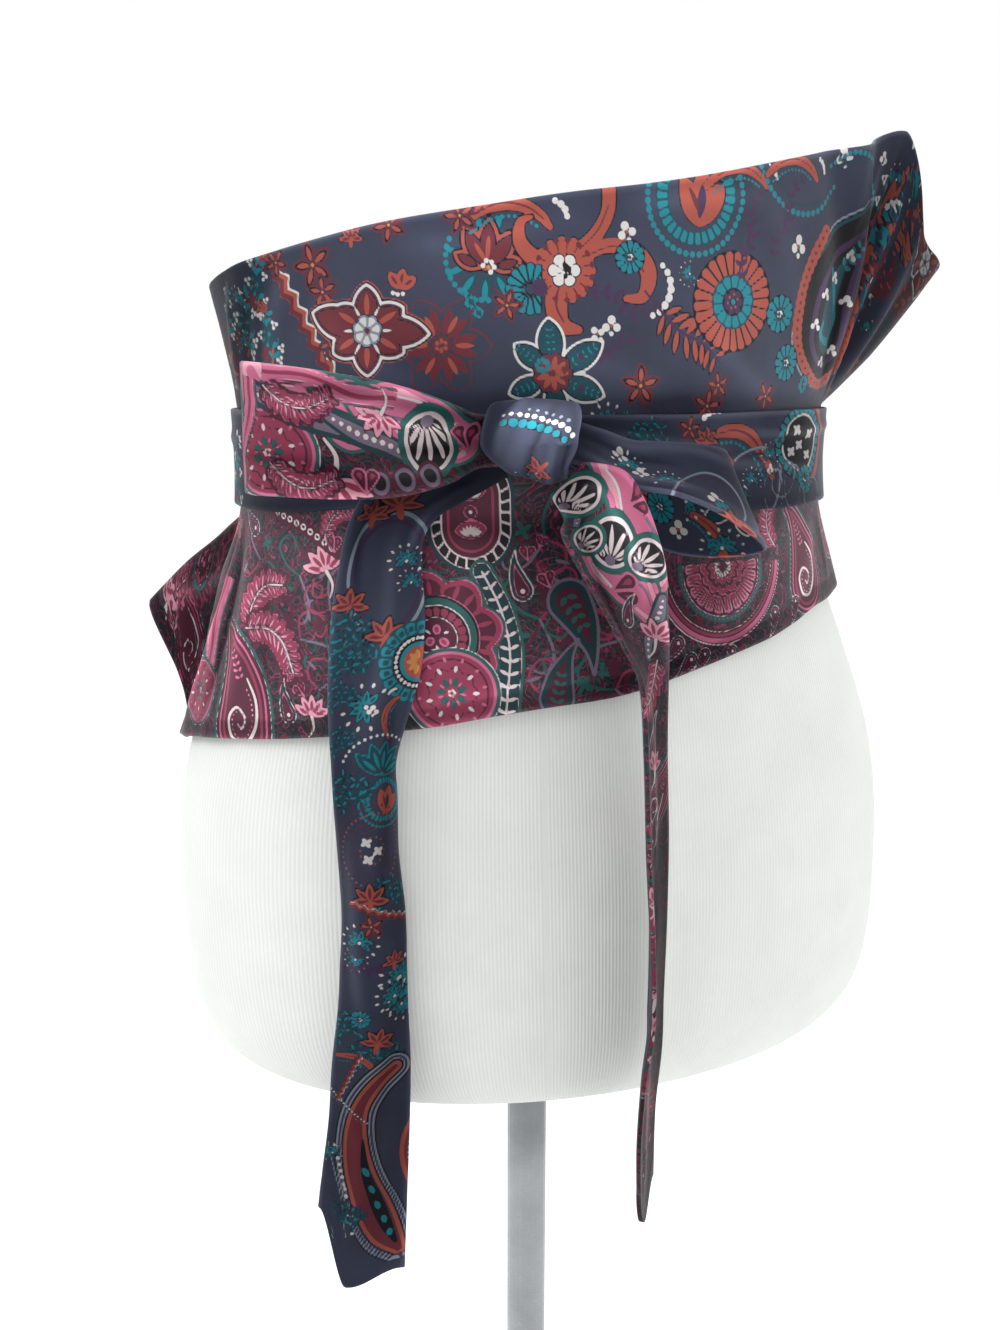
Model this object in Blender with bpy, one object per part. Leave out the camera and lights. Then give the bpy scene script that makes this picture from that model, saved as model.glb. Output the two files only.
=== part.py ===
# Obi sash tied in a bow on a dress form.
# Metres, +Z up. The origin is the middle of the stand's underside, on the floor.
# The front of the sash, with the bow, faces -Y. The wearer's left side is at +X.
# Tables are in millimetres and heights in them are measured from the waist.
import math

import bmesh
import bpy
from mathutils import Vector

for old in list(bpy.data.objects):
    bpy.data.objects.remove(old, do_unlink=True)

MM = 0.001
WAIST = 660.0          # height of the middle of the tie above the floor
FORM_X = 2.5           # the form stands this far to the side of its pole
FORM_LEAN = 0.022      # and its hips lean out this much for each mm of height
BOW_X = -2.5           # the bow's tables start this far to the side of the pole
FORM_TURN = 16.0       # degrees the form is turned to its left
CLOTH = 2.0            # a finished cloth wall: two layers of satin and a stiffener
GAP = 0.4              # clear space under cloth that lies on something
BAND = 23.0            # half the height that the tie holds against the form
EASE = 2.0             # how softly the panel leaves the form

POLE_R = 10.5
POLE_FIT = 0.3
POLE_FOOT = 5.3
SOCKET = 46.0
BASE_R = 125.0
COLLAR_R = 17.0
COLLAR_TOP = 42.0

END_ANGLE = 130.0      # the panel ends this far round from the front
FORM_COLUMNS = 48
PLAIN_STEP = 4.4       # degrees between columns where the panel is smooth
FOLD_STEP = 2.4        # and where it is folded
PLAIN_HALF = 52.8
TIE_STEP = 4.0

# the dress form, a row for each section
FORM_ROWS = [
    # height, half width, half depth
    (-293.0, 130.0, 78.0),
    (-290.0, 149.0, 92.0),
    (-282.0, 164.5, 104.0),
    (-268.0, 173.5, 112.0),
    (-248.0, 178.0, 117.0),
    (-222.0, 179.8, 119.0),
    (-190.0, 179.8, 119.5),
    (-165.0, 178.0, 118.5),
    (-140.0, 173.5, 116.5),
    (-115.0, 165.5, 114.0),
    (-90.0, 156.0, 111.0),
    (-60.0, 145.0, 107.0),
    (-30.0, 139.0, 103.5),
    (0.0, 137.0, 102.0),
    (30.0, 138.0, 104.0),
    (58.0, 139.0, 106.0),
    (68.0, 136.0, 102.0),
    (74.0, 126.0, 93.0),
    (76.0, 108.0, 78.0),
]
CAP_TOP = 82.0

# the panel's top edge: how high it is and how far it stands off the form
TOP_EDGE = [
    # angle, height, clear
    (-130.0, -12.0, 3.0),
    (-115.0, 40.0, 4.5),
    (-100.0, 64.0, 10.0),
    (-84.0, 74.0, 12.0),
    (-70.0, 78.0, 10.0),
    (-58.0, 82.0, 9.0),
    (-44.0, 88.0, 7.0),
    (-30.0, 94.0, 6.0),
    (-12.0, 99.5, 5.5),
    (6.0, 105.0, 5.5),
    (20.0, 108.5, 6.2),
    (32.0, 112.5, 7.2),
    (45.0, 118.3, 10.0),
    (59.0, 125.7, 16.0),
    (73.0, 134.0, 25.0),
    (80.5, 141.5, 33.0),
    (87.5, 100.0, 44.0),
    (95.0, 87.0, 59.0),
    (102.0, 81.0, 55.0),
    (112.0, 71.0, 36.0),
    (122.0, 62.0, 13.0),
    (130.0, 56.0, 3.0),
]

# the panel's bottom edge
BOTTOM_EDGE = [
    # angle, height, clear
    (-130.0, -56.0, 3.0),
    (-121.0, -63.0, 16.0),
    (-112.0, -70.0, 38.0),
    (-104.0, -75.0, 57.0),
    (-98.0, -78.0, 59.0),
    (-92.0, -110.0, 29.0),
    (-86.0, -139.0, 7.0),
    (-80.0, -133.0, 4.5),
    (-70.0, -126.0, 4.0),
    (-60.0, -120.5, 3.8),
    (-47.0, -115.0, 3.6),
    (-34.0, -110.0, 3.6),
    (-21.0, -105.5, 3.6),
    (-10.0, -101.0, 3.6),
    (0.0, -98.0, 3.6),
    (14.0, -95.0, 3.8),
    (35.0, -85.4, 4.2),
    (50.0, -78.0, 5.0),
    (60.0, -72.5, 6.0),
    (70.0, -66.5, 7.0),
    (84.0, -65.0, 4.5),
    (98.0, -61.0, 4.5),
    (114.0, -36.0, 4.5),
    (130.0, 12.0, 3.0),
]

# the seam between the two halves of the panel
SEAM_LINE = [
    # angle, height, half the gap
    (-130.0, -34.0, 0.30),
    (-115.0, -17.0, 0.30),
    (-100.0, 0.0, 0.15),
    (100.0, 0.0, 0.15),
    (115.0, 17.0, 0.30),
    (130.0, 34.0, 0.30),
]

# the largest folds of the panel, each running from the tie to an edge
FOLDS = [
    # angle at tie, angle at edge, 1 for top or -1 for bottom, depth, width
    (84.0, 62.0, 1, -2.4, 3.2),
    (86.0, 69.0, 1, 2.6, 2.8),
    (88.0, 75.5, 1, -3.0, 2.6),
    (91.0, 84.0, 1, 3.0, 3.0),
    (98.0, 98.0, 1, -3.0, 4.0),
    (74.0, 40.0, 1, 1.6, 5.0),
    (-70.0, -58.0, 1, 1.8, 5.0),
    (-92.0, -88.0, 1, -2.2, 5.0),
    (-84.0, -62.0, -1, 1.6, 3.4),
    (-86.0, -71.0, -1, 2.2, 3.0),
    (-88.0, -80.0, -1, 2.4, 3.0),
    (-92.0, -90.0, -1, -3.0, 3.0),
    (-99.0, -101.0, -1, 2.6, 4.5),
    (88.0, 88.0, -1, 1.8, 4.5),
    (66.0, 52.0, -1, 1.4, 5.0),
]

# the tie sewn to the panel's right end, round the back and to the knot
TIE_RIGHT = [
    # angle, height of its middle, half height, lift off what is under it
    (130.15, 34.0, 22.0, 0.0),
    (150.0, 30.5, 22.0, 0.0),
    (180.0, 23.5, 22.0, 0.0),
    (200.0, 18.8, 22.0, 0.0),
    (208.0, 16.0, 22.0, 0.5),
    (216.0, 12.0, 22.0, 2.9),
    (226.0, 7.0, 21.8, 2.9),
    (236.0, 3.0, 21.6, 2.9),
    (250.0, 0.6, 21.5, 2.9),
    (270.0, 0.0, 21.5, 2.9),
    (300.0, 0.0, 21.5, 2.9),
    (325.0, 2.0, 19.0, 3.0),
    (344.0, 7.0, 14.0, 3.1),
    (353.5, 9.5, 11.0, 3.0),
]

# the tie sewn to the panel's left end goes the other way round
TIE_LEFT = [
    # angle, height of its middle, half height, lift off what is under it
    (-130.15, -34.0, 22.0, 0.0),
    (-150.0, -30.5, 22.0, 0.0),
    (-180.0, -23.5, 22.0, 0.0),
    (-200.0, -18.8, 22.0, 0.0),
    (-208.0, -16.0, 22.0, 0.5),
    (-216.0, -12.0, 22.0, 2.9),
    (-226.0, -7.0, 21.8, 2.9),
    (-236.0, -3.0, 21.6, 2.9),
    (-250.0, -0.6, 21.5, 2.9),
    (-270.0, 0.0, 21.5, 2.9),
    (-300.0, 0.0, 21.3, 2.9),
    (-322.0, 1.5, 19.0, 3.0),
    (-340.0, 6.0, 14.5, 3.1),
    (-362.5, 9.5, 11.0, 3.0),
]

# the knot is a short width of the tie wrapped once round the bow's middle
KNOT_AT = (-1.5, -126.7, 11.0)
KNOT_ROWS = [
    # turn round the knot, left rim, right rim, half depth, half height
    (0.0, -18.0, 19.0, 13.8, 13.8),
    (45.0, -16.0, 20.5, 13.8, 14.2),
    (90.0, -13.0, 19.0, 13.8, 13.8),
    (180.0, -11.0, 13.0, 12.8, 13.4),
    (270.0, 3.0, 15.0, 13.8, 13.8),
    (315.0, -9.0, 15.5, 14.2, 14.2),
    (360.0, -18.0, 19.0, 13.8, 13.8),
]

# ribbons: a row for each place along, with the middle, half the width,
# the turn of the width about the vertical, its tilt and how far it is cupped
LOOP_LEFT = [
    # x, y, z, half, turn, tilt, cup
    (-3.0, -133.4, 11.0, 9.8, 0.0, 90.0, 0.5),
    (-13.0, -133.6, 11.0, 9.6, 0.0, 90.0, 0.8),
    (-21.0, -136.0, 11.0, 10.4, 0.0, 90.0, 1.5),
    (-32.0, -145.0, 11.0, 15.5, 0.0, 90.0, 2.4),
    (-50.0, -153.0, 12.0, 20.5, 0.0, 90.0, 2.8),
    (-72.0, -158.0, 14.0, 22.8, 0.0, 90.0, 2.0),
    (-92.0, -158.0, 15.8, 23.8, 0.0, 90.0, 1.0),
    (-103.0, -153.5, 16.5, 24.2, 0.0, 90.0, 0.4),
    (-107.0, -145.5, 16.8, 24.2, 0.0, 90.0, 0.0),
    (-103.0, -137.5, 16.6, 24.0, 0.0, 90.0, 0.0),
    (-90.0, -131.5, 16.0, 23.2, 0.0, 90.0, 0.0),
    (-70.0, -128.0, 14.5, 21.0, 0.0, 90.0, -0.6),
    (-48.0, -126.5, 12.5, 17.0, 0.0, 90.0, -1.0),
    (-30.0, -123.0, 11.0, 12.0, 0.0, 90.0, -0.8),
    (-14.0, -120.6, 11.0, 9.6, 0.0, 90.0, -0.4),
    (-3.0, -120.4, 11.0, 9.8, 0.0, 90.0, -0.2),
]
LOOP_RIGHT = [
    # x, y, z, half, turn, tilt, cup
    (5.0, -133.0, 11.5, 8.4, 90.0, 82.0, -0.5),
    (15.0, -133.0, 11.0, 8.4, 90.0, 76.0, -0.8),
    (26.0, -134.0, 7.5, 10.0, 90.0, 58.0, -1.5),
    (39.0, -134.0, 2.5, 13.5, 90.0, 40.0, -2.5),
    (53.0, -132.5, 1.0, 15.5, 94.0, 36.0, -3.0),
    (67.0, -130.0, -2.5, 18.0, 104.0, 42.0, -2.5),
    (78.0, -126.5, -7.5, 20.5, 120.0, 52.0, -1.5),
    (84.5, -121.0, -11.5, 21.5, 136.0, 60.0, -0.5),
    (85.0, -114.0, -14.0, 21.5, 144.0, 65.0, 0.0),
    (80.0, -109.0, -16.5, 20.5, 136.0, 70.0, 0.8),
    (68.0, -107.5, -18.0, 19.0, 110.0, 76.0, 1.5),
    (53.0, -111.0, -16.0, 17.0, 95.0, 82.0, 1.8),
    (38.0, -116.0, -8.0, 14.0, 90.0, 86.0, 1.5),
    (25.0, -120.5, 2.5, 10.5, 90.0, 90.0, 1.0),
    (15.0, -121.0, 10.0, 8.8, 90.0, 90.0, 0.6),
    (5.0, -120.4, 11.0, 10.2, 90.0, 90.0, 0.4),
]
TAIL_LEFT = [
    # x, y, z, half, turn, tilt, cup
    (-13.0, -117.8, 2.0, 7.0, 0.0, -50.0, 0.3),
    (-25.0, -117.0, -1.5, 10.0, 0.0, -48.0, 0.6),
    (-37.0, -117.6, -5.0, 13.0, 2.0, -42.0, 1.0),
    (-49.0, -118.0, -12.0, 15.0, 6.0, -26.0, 1.5),
    (-57.0, -118.5, -24.0, 15.5, 12.0, -10.0, 2.0),
    (-60.0, -120.0, -40.0, 17.0, 14.0, 0.0, 2.5),
    (-61.0, -122.5, -60.0, 19.0, 8.0, 0.0, 2.5),
    (-62.6, -125.0, -81.0, 18.8, 8.0, 0.0, 3.0),
    (-65.0, -128.5, -98.0, 16.5, 12.0, 0.0, 5.0),
    (-67.0, -132.5, -117.0, 13.4, 16.0, 0.0, 8.0),
    (-66.5, -134.0, -133.0, 13.2, 16.0, 0.0, 8.5),
    (-65.8, -134.5, -156.0, 12.6, 14.0, 0.0, 8.5),
    (-64.2, -134.5, -181.0, 13.2, 10.0, 0.0, 8.0),
    (-64.8, -134.0, -205.0, 14.0, 6.0, 0.0, 7.0),
    (-65.4, -133.5, -224.0, 14.8, 4.0, 0.0, 6.0),
    (-66.8, -133.0, -250.0, 16.8, 0.0, 0.0, 4.0),
    (-68.4, -132.5, -278.0, 17.8, -6.0, 0.0, 2.5),
    (-71.0, -132.0, -306.0, 19.2, -8.0, 0.0, 2.0),
    (-73.0, -132.0, -330.0, 19.4, -8.0, 0.0, 1.5),
]
TAIL_RIGHT = [
    # x, y, z, half, turn, tilt, cup
    (13.2, -138.6, -2.8, 9.0, -5.0, 48.0, -1.5),
    (23.0, -147.0, -8.0, 14.5, -5.0, 40.0, -4.0),
    (26.5, -150.0, -16.0, 17.0, 0.0, 20.0, -6.0),
    (31.0, -151.5, -27.0, 17.3, 5.0, 8.0, -7.0),
    (35.5, -150.0, -38.0, 16.6, 15.0, 3.0, -7.0),
    (39.5, -147.0, -50.0, 15.8, 32.0, 0.0, -6.0),
    (44.5, -142.0, -65.0, 15.4, 50.0, 0.0, -5.0),
    (49.0, -138.5, -81.0, 16.0, 65.0, 0.0, -4.0),
    (50.6, -137.0, -112.0, 17.0, 70.0, 0.0, -3.0),
    (52.5, -136.0, -152.0, 17.5, 71.0, 0.0, -3.0),
    (54.0, -135.5, -190.0, 17.5, 75.0, 0.0, -2.5),
    (54.2, -135.0, -225.0, 17.5, 77.0, 0.0, -2.5),
    (52.6, -135.0, -250.0, 17.5, 72.0, 0.0, -2.5),
    (50.8, -135.0, -278.0, 17.5, 73.0, 0.0, -2.0),
    (51.0, -135.0, -300.0, 17.5, 74.0, 0.0, -2.0),
]
# the slanted ends: how far each place across hangs past the last row
END_LEFT = [
    # place across, drop
    (-1.0, -9.0),
    (-0.4, 29.0),
    (1.0, 17.0),
]
END_RIGHT = [
    # place across, drop
    (-1.0, 0.0),
    (0.4, 29.0),
    (1.0, 12.0),
]


def row_at(rows, x):
    # the values of a table at x, eased from row to row without overshoot
    last = len(rows) - 1
    if x <= rows[0][0]:
        return rows[0][1:]
    if x >= rows[last][0]:
        return rows[last][1:]
    k = max(i for i in range(last) if rows[i][0] <= x)
    span = rows[k + 1][0] - rows[k][0]
    u = (x - rows[k][0]) / span

    def slope(i, c):
        if i == 0 or i == last:
            return 0.0
        before = (rows[i][c] - rows[i - 1][c]) / (rows[i][0] - rows[i - 1][0])
        after = (rows[i + 1][c] - rows[i][c]) / (rows[i + 1][0] - rows[i][0])
        if before * after <= 0.0:
            return 0.0
        return 2.0 * before * after / (before + after)

    values = []
    for c in range(1, len(rows[0])):
        a, b = rows[k][c], rows[k + 1][c]
        rise = (2 * u ** 3 - 3 * u * u + 1) * a + (3 * u * u - 2 * u ** 3) * b
        lean = (u ** 3 - 2 * u * u + u) * slope(k, c) + (u ** 3 - u * u) * slope(k + 1, c)
        values.append(rise + span * lean)
    return tuple(values)


def form_radius(angle, height):
    half_width, half_depth = row_at(FORM_ROWS, height)
    turn = math.radians(angle - FORM_TURN)
    return 1.0 / math.hypot(math.sin(turn) / half_width, math.cos(turn) / half_depth)


def place(angle, radius, height):
    # angle 0 is the front, 90 the right of the photo, 180 the back
    a = math.radians(angle)
    middle = FORM_X - FORM_LEAN * min(height, 0.0)
    return Vector((middle + radius * math.sin(a), -radius * math.cos(a), WAIST + height))


def softer_max(a, b):
    return 0.5 * (a + b + math.hypot(a - b, EASE))


def lying(angle, height):
    # the middle of a cloth wall that lies on the form
    return form_radius(angle, min(height, 50.0)) + GAP + CLOTH / 2 + EASE / 2


def fold_push(angle, part, side):
    push = 0.0
    for at_tie, at_edge, which, depth, width in FOLDS:
        if which == side:
            middle = at_tie + (at_edge - at_tie) * part
            push += depth * math.exp(-((angle - middle) / width) ** 2)
    return push * min(1.0, part * 1.6)


def panel_radius(angle, height):
    # inside the tie's height the panel lies on the form; past it, it leans out
    side = 1 if height > 0 else -1
    edge_rows = TOP_EDGE if side > 0 else BOTTOM_EDGE
    edge, clear = row_at(edge_rows, angle)
    base = lying(angle, height)
    over = side * height - BAND
    run = max(side * edge - BAND, 1.0)
    if over <= 0.0:
        return base
    part = min(over / run, 1.0)
    start = lying(angle, side * BAND) - EASE / 2
    reach = form_radius(angle, min(edge, 50.0)) + clear
    bend = 1.12 - 0.005 * clear
    lean = start + (reach - start) * part ** bend * min(1.0, run / 14.0)
    free = min(1.0, clear / 12.0) if side > 0 else min(1.0, clear / 8.0)
    lean += fold_push(angle, part, side) * max(free, 0.35)
    return softer_max(lean, base - EASE / 2)


def under_tie(angle, height):
    # what the tie lies on: the panel where there is one, or else the form
    turned = (angle + 180.0) % 360.0 - 180.0
    if abs(turned) > END_ANGLE:
        return lying(angle, height)
    low = row_at(BOTTOM_EDGE, turned)[0]
    high = row_at(TOP_EDGE, turned)[0]
    return max(panel_radius(turned, min(max(height, low), high)), lying(angle, height))


def new_material(name, colour, roughness, metallic):
    material = bpy.data.materials.new(name)
    material.use_nodes = True
    shader = material.node_tree.nodes["Principled BSDF"]
    shader.inputs["Base Color"].default_value = (*colour, 1.0)
    shader.inputs["Roughness"].default_value = roughness
    shader.inputs["Metallic"].default_value = metallic
    return material


def add_object(name, points, faces, material, smooth_limit):
    mesh = bpy.data.meshes.new(name)
    mesh.from_pydata([tuple(p * MM) for p in points], [], faces)
    work = bmesh.new()
    work.from_mesh(mesh)
    bmesh.ops.recalc_face_normals(work, faces=work.faces)
    for face in work.faces:
        face.smooth = True
    for edge in work.edges:
        if edge.calc_face_angle(0.0) > math.radians(smooth_limit):
            edge.smooth = False
    work.to_mesh(mesh)
    work.free()
    mesh.materials.append(material)
    body = bpy.data.objects.new(name, mesh)
    bpy.context.scene.collection.objects.link(body)
    return body


def grid_normals(grid, closed):
    rows, columns = len(grid), len(grid[0])
    normals = []
    for i in range(rows):
        ahead = (i + 1) % rows if closed else min(i + 1, rows - 1)
        behind = (i - 1) % rows if closed else max(i - 1, 0)
        line = []
        for j in range(columns):
            along = grid[ahead][j] - grid[behind][j]
            across = grid[i][min(j + 1, columns - 1)] - grid[i][max(j - 1, 0)]
            line.append(along.cross(across).normalized())
        normals.append(line)
    return normals


def cloth_wall(name, grid, thickness, material, closed=False):
    # a grid of points down the middle of the cloth becomes a closed wall
    normals = grid_normals(grid, closed)
    rows, columns = len(grid), len(grid[0])
    points = []
    for side in (0.5, -0.5):
        for i in range(rows):
            for j in range(columns):
                points.append(grid[i][j] + normals[i][j] * thickness * side)
    total = rows * columns
    faces = []
    steps = rows if closed else rows - 1
    for i in range(steps):
        a, b = i * columns, ((i + 1) % rows) * columns
        for j in range(columns - 1):
            faces.append((a + j, b + j, b + j + 1, a + j + 1))
            faces.append((total + a + j, total + a + j + 1, total + b + j + 1, total + b + j))
        for j in (0, columns - 1):
            faces.append((a + j, b + j, total + b + j, total + a + j))
    if not closed:
        for i in (0, rows - 1):
            a = i * columns
            for j in range(columns - 1):
                faces.append((a + j, a + j + 1, total + a + j + 1, total + a + j))
    return add_object(name, points, faces, material, 45.0)


def lathe(name, profile, material, count):
    # a profile of radius and height turned about the pole, closed on the axis
    points = []
    for radius, height in profile[1:-1]:
        for k in range(count):
            a = 2 * math.pi * k / count
            points.append(Vector((radius * math.cos(a), radius * math.sin(a), height)))
    faces = []
    rings = len(profile) - 2
    for i in range(rings - 1):
        for k in range(count):
            n = (k + 1) % count
            faces.append((i * count + k, i * count + n, (i + 1) * count + n, (i + 1) * count + k))
    for ring, end in ((0, profile[0]), (rings - 1, profile[-1])):
        middle = len(points)
        points.append(Vector((0.0, 0.0, end[1])))
        for k in range(count):
            faces.append((ring * count + k, ring * count + (k + 1) % count, middle))
    return add_object(name, points, faces, material, 35.0)


def along_table(rows, steps):
    # even steps through a ribbon table, with a smooth curve through its rows
    last = len(rows) - 1
    out = []
    for step in range(last * steps + 1):
        k = min(step // steps, last - 1)
        u = step / steps - k
        before = rows[max(k - 1, 0)]
        after = rows[min(k + 2, last)]
        line = []
        for c in range(len(rows[0])):
            p0, p1, p2, p3 = before[c], rows[k][c], rows[k + 1][c], after[c]
            line.append(0.5 * (2 * p1 + (p2 - p0) * u + (2 * p0 - 5 * p1 + 4 * p2 - p3) * u * u
                               + (3 * p1 - p0 - 3 * p2 + p3) * u ** 3))
        out.append(line)
    return out


def ribbon_grid(rows, steps, columns, end_rows=None):
    places = along_table(rows, steps)
    grid = []
    for i, (x, y, z, half, turn, tilt, cup) in enumerate(places):
        middle = Vector((BOW_X + x, y, WAIST + z))
        ahead = places[min(i + 1, len(places) - 1)]
        behind = places[max(i - 1, 0)]
        along = Vector((ahead[0] - behind[0], ahead[1] - behind[1], ahead[2] - behind[2]))
        t, e = math.radians(turn), math.radians(tilt)
        across = Vector((math.cos(t) * math.cos(e), math.sin(t) * math.cos(e), math.sin(e)))
        out = along.cross(across).normalized()
        line = []
        for j in range(columns + 1):
            s = 2.0 * j / columns - 1.0
            point = middle + across * half * s + out * cup * (1.0 - s * s)
            if end_rows:
                share = max(0.0, (i - (len(places) - 1 - steps)) / steps)
                point = point - Vector((0.0, 0.0, row_at(end_rows, s)[0] * share))
            line.append(point)
        grid.append(line)
    return grid


def build_form(material):
    heights = [row[0] for row in FORM_ROWS]
    levels = []
    for low, high in zip(heights, heights[1:]):
        cuts = max(1, round((high - low) / 22.0))
        levels += [low + (high - low) * c / cuts for c in range(cuts)]
    levels.append(heights[-1])
    points = []
    for height in levels:
        for k in range(FORM_COLUMNS):
            angle = 360.0 * k / FORM_COLUMNS
            points.append(place(angle, form_radius(angle, height), height))
    n = FORM_COLUMNS
    faces = []
    for i in range(len(levels) - 1):
        for k in range(n):
            m = (k + 1) % n
            faces.append((i * n + k, i * n + m, (i + 1) * n + m, (i + 1) * n + k))
    top = (len(levels) - 1) * n
    # the cap rises a little to the middle
    for share in (0.6, 0.25):
        first = len(points)
        for k in range(n):
            angle = 360.0 * k / n
            height = heights[-1] + (CAP_TOP - heights[-1]) * (1.0 - share)
            points.append(place(angle, form_radius(angle, heights[-1]) * share, height))
        for k in range(n):
            m = (k + 1) % n
            faces.append((top + k, top + m, first + m, first + k))
        top = first
    middle = len(points)
    points.append(place(0.0, 0.0, CAP_TOP))
    for k in range(n):
        faces.append((top + k, top + (k + 1) % n, middle))
    # the underside runs in to the socket for the pole
    rings = [0]
    bore = POLE_R + POLE_FIT
    for radius, height in ((60.0, heights[0]), (bore, heights[0]), (bore, heights[0] + SOCKET)):
        rings.append(len(points))
        for k in range(n):
            a = math.radians(360.0 * k / n)
            points.append(Vector((radius * math.sin(a), -radius * math.cos(a), WAIST + height)))
    for a, b in zip(rings, rings[1:]):
        for k in range(n):
            m = (k + 1) % n
            faces.append((a + k, a + m, b + m, b + k))
    middle = len(points)
    points.append(Vector((0.0, 0.0, WAIST + heights[0] + SOCKET)))
    for k in range(n):
        faces.append((rings[-1] + k, rings[-1] + (k + 1) % n, middle))
    return add_object("form_torso", points, faces, material, 50.0)


def build_stand(material):
    top = WAIST + FORM_ROWS[0][0] + SOCKET - 1.0
    bore = POLE_R + POLE_FIT
    lathe("stand_pole", [
        (0.0, POLE_FOOT),
        (POLE_R - 1.0, POLE_FOOT),
        (POLE_R, POLE_FOOT + 1.0),
        (POLE_R, top - 1.0),
        (POLE_R - 1.0, top),
        (0.0, top),
    ], material, 24)
    lathe("stand_base", [
        (0.0, 0.0),
        (BASE_R - 3.0, 0.0),
        (BASE_R, 2.5),
        (BASE_R, 6.5),
        (BASE_R - 3.5, 9.5),
        (BASE_R - 14.0, 11.0),
        (COLLAR_R + 9.0, 13.5),
        (COLLAR_R + 1.5, 16.0),
        (COLLAR_R, 20.0),
        (COLLAR_R, COLLAR_TOP - 2.0),
        (COLLAR_R - 2.0, COLLAR_TOP),
        (bore, COLLAR_TOP),
        (bore, 5.0),
        (0.0, 5.0),
    ], material, 44)


def build_panel(name, upper, material):
    rows = 8
    plain = round(2 * PLAIN_HALF / PLAIN_STEP)
    angles = [-PLAIN_HALF + 2 * PLAIN_HALF * i / plain for i in range(plain + 1)]
    folded = round((END_ANGLE - PLAIN_HALF) / FOLD_STEP)
    for i in range(1, folded + 1):
        out = PLAIN_HALF + (END_ANGLE - PLAIN_HALF) * i / folded
        angles = [-out] + angles + [out]
    grid = []
    for angle in angles:
        seam, gap = row_at(SEAM_LINE, angle)
        if upper:
            low, high = seam + gap, row_at(TOP_EDGE, angle)[0]
        else:
            low, high = row_at(BOTTOM_EDGE, angle)[0], seam - gap
        # two steps inside the tie's height and the rest out to the edge
        tall = high - low
        if upper:
            knee = min(max(BAND, low + 0.15 * tall), low + 0.45 * tall)
            levels = [low, (low + knee) / 2.0]
            levels += [knee + (high - knee) * j / (rows - 2) for j in range(rows - 1)]
        else:
            knee = max(min(-BAND, high - 0.15 * tall), high - 0.45 * tall)
            levels = [low + (knee - low) * j / (rows - 2) for j in range(rows - 1)]
            levels += [(high + knee) / 2.0, high]
        grid.append([place(angle, panel_radius(angle, z), z) for z in levels])
    return cloth_wall(name, grid, CLOTH, material)


def build_tie(name, rows, material):
    start, end = rows[0][0], rows[-1][0]
    count = round(abs(end - start) / TIE_STEP)
    grid = []
    for i in range(count + 1):
        angle = start + (end - start) * i / count
        key = [(abs(row[0]),) + row[1:] for row in rows]
        middle, half, lift = row_at(key, abs(angle))
        line = []
        for j in range(5):
            height = middle + half * (j / 2.0 - 1.0)
            line.append(place(angle, under_tie(angle, height) + lift, height))
        grid.append(line)
    return cloth_wall(name, grid, CLOTH, material)


def build_knot(material):
    count, across = 28, 6
    grid = []
    for i in range(count):
        turn = 360.0 * i / count
        left, right, depth, tall = row_at(KNOT_ROWS, turn)
        a = math.radians(turn)
        line = []
        for j in range(across + 1):
            s = 2.0 * j / across - 1.0
            swell = 1.0 + 0.10 * (1.0 - s * s)
            x = BOW_X + KNOT_AT[0] + left + (right - left) * (s + 1.0) / 2.0
            y = KNOT_AT[1] - depth * swell * math.cos(a)
            z = KNOT_AT[2] + tall * swell * math.sin(a)
            line.append(Vector((x, y, WAIST + z)))
        grid.append(line)
    return cloth_wall("knot_wrap", grid, CLOTH, material, closed=True)


cover = new_material("form_cover", (0.80, 0.82, 0.80), 0.85, 0.0)
steel = new_material("stand_steel", (0.55, 0.56, 0.57), 0.28, 1.0)
floral = new_material("satin_floral", (0.055, 0.060, 0.085), 0.40, 0.0)
paisley = new_material("satin_paisley", (0.110, 0.030, 0.050), 0.42, 0.0)

build_form(cover)
build_stand(steel)
build_panel("panel_upper", True, floral)
build_panel("panel_lower", False, paisley)
build_tie("tie_right_round_back", TIE_RIGHT, floral)
build_tie("tie_left_round_back", TIE_LEFT, floral)
build_knot(floral)
cloth_wall("bow_loop_left", ribbon_grid(LOOP_LEFT, 3, 6), CLOTH, paisley)
cloth_wall("bow_loop_right", ribbon_grid(LOOP_RIGHT, 3, 6), CLOTH, floral)
cloth_wall("tail_left", ribbon_grid(TAIL_LEFT, 2, 6, END_LEFT), CLOTH, floral)
cloth_wall("tail_right", ribbon_grid(TAIL_RIGHT, 2, 6, END_RIGHT), CLOTH, paisley)
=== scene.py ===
import math

import bpy
import numpy as np
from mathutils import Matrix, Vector


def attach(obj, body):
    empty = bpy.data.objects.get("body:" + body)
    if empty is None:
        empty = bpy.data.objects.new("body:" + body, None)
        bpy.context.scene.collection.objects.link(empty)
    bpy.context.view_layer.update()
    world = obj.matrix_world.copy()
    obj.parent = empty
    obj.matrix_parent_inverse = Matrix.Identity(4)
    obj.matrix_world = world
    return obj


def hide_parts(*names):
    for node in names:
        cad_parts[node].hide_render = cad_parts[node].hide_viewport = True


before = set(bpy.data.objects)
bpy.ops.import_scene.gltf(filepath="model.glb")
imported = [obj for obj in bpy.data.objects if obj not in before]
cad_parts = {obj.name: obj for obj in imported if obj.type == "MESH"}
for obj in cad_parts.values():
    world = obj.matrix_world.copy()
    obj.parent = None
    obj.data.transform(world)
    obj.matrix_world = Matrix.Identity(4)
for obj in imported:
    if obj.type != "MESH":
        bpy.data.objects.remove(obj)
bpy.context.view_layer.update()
bpy.ops.object.select_all(action="DESELECT")

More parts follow.
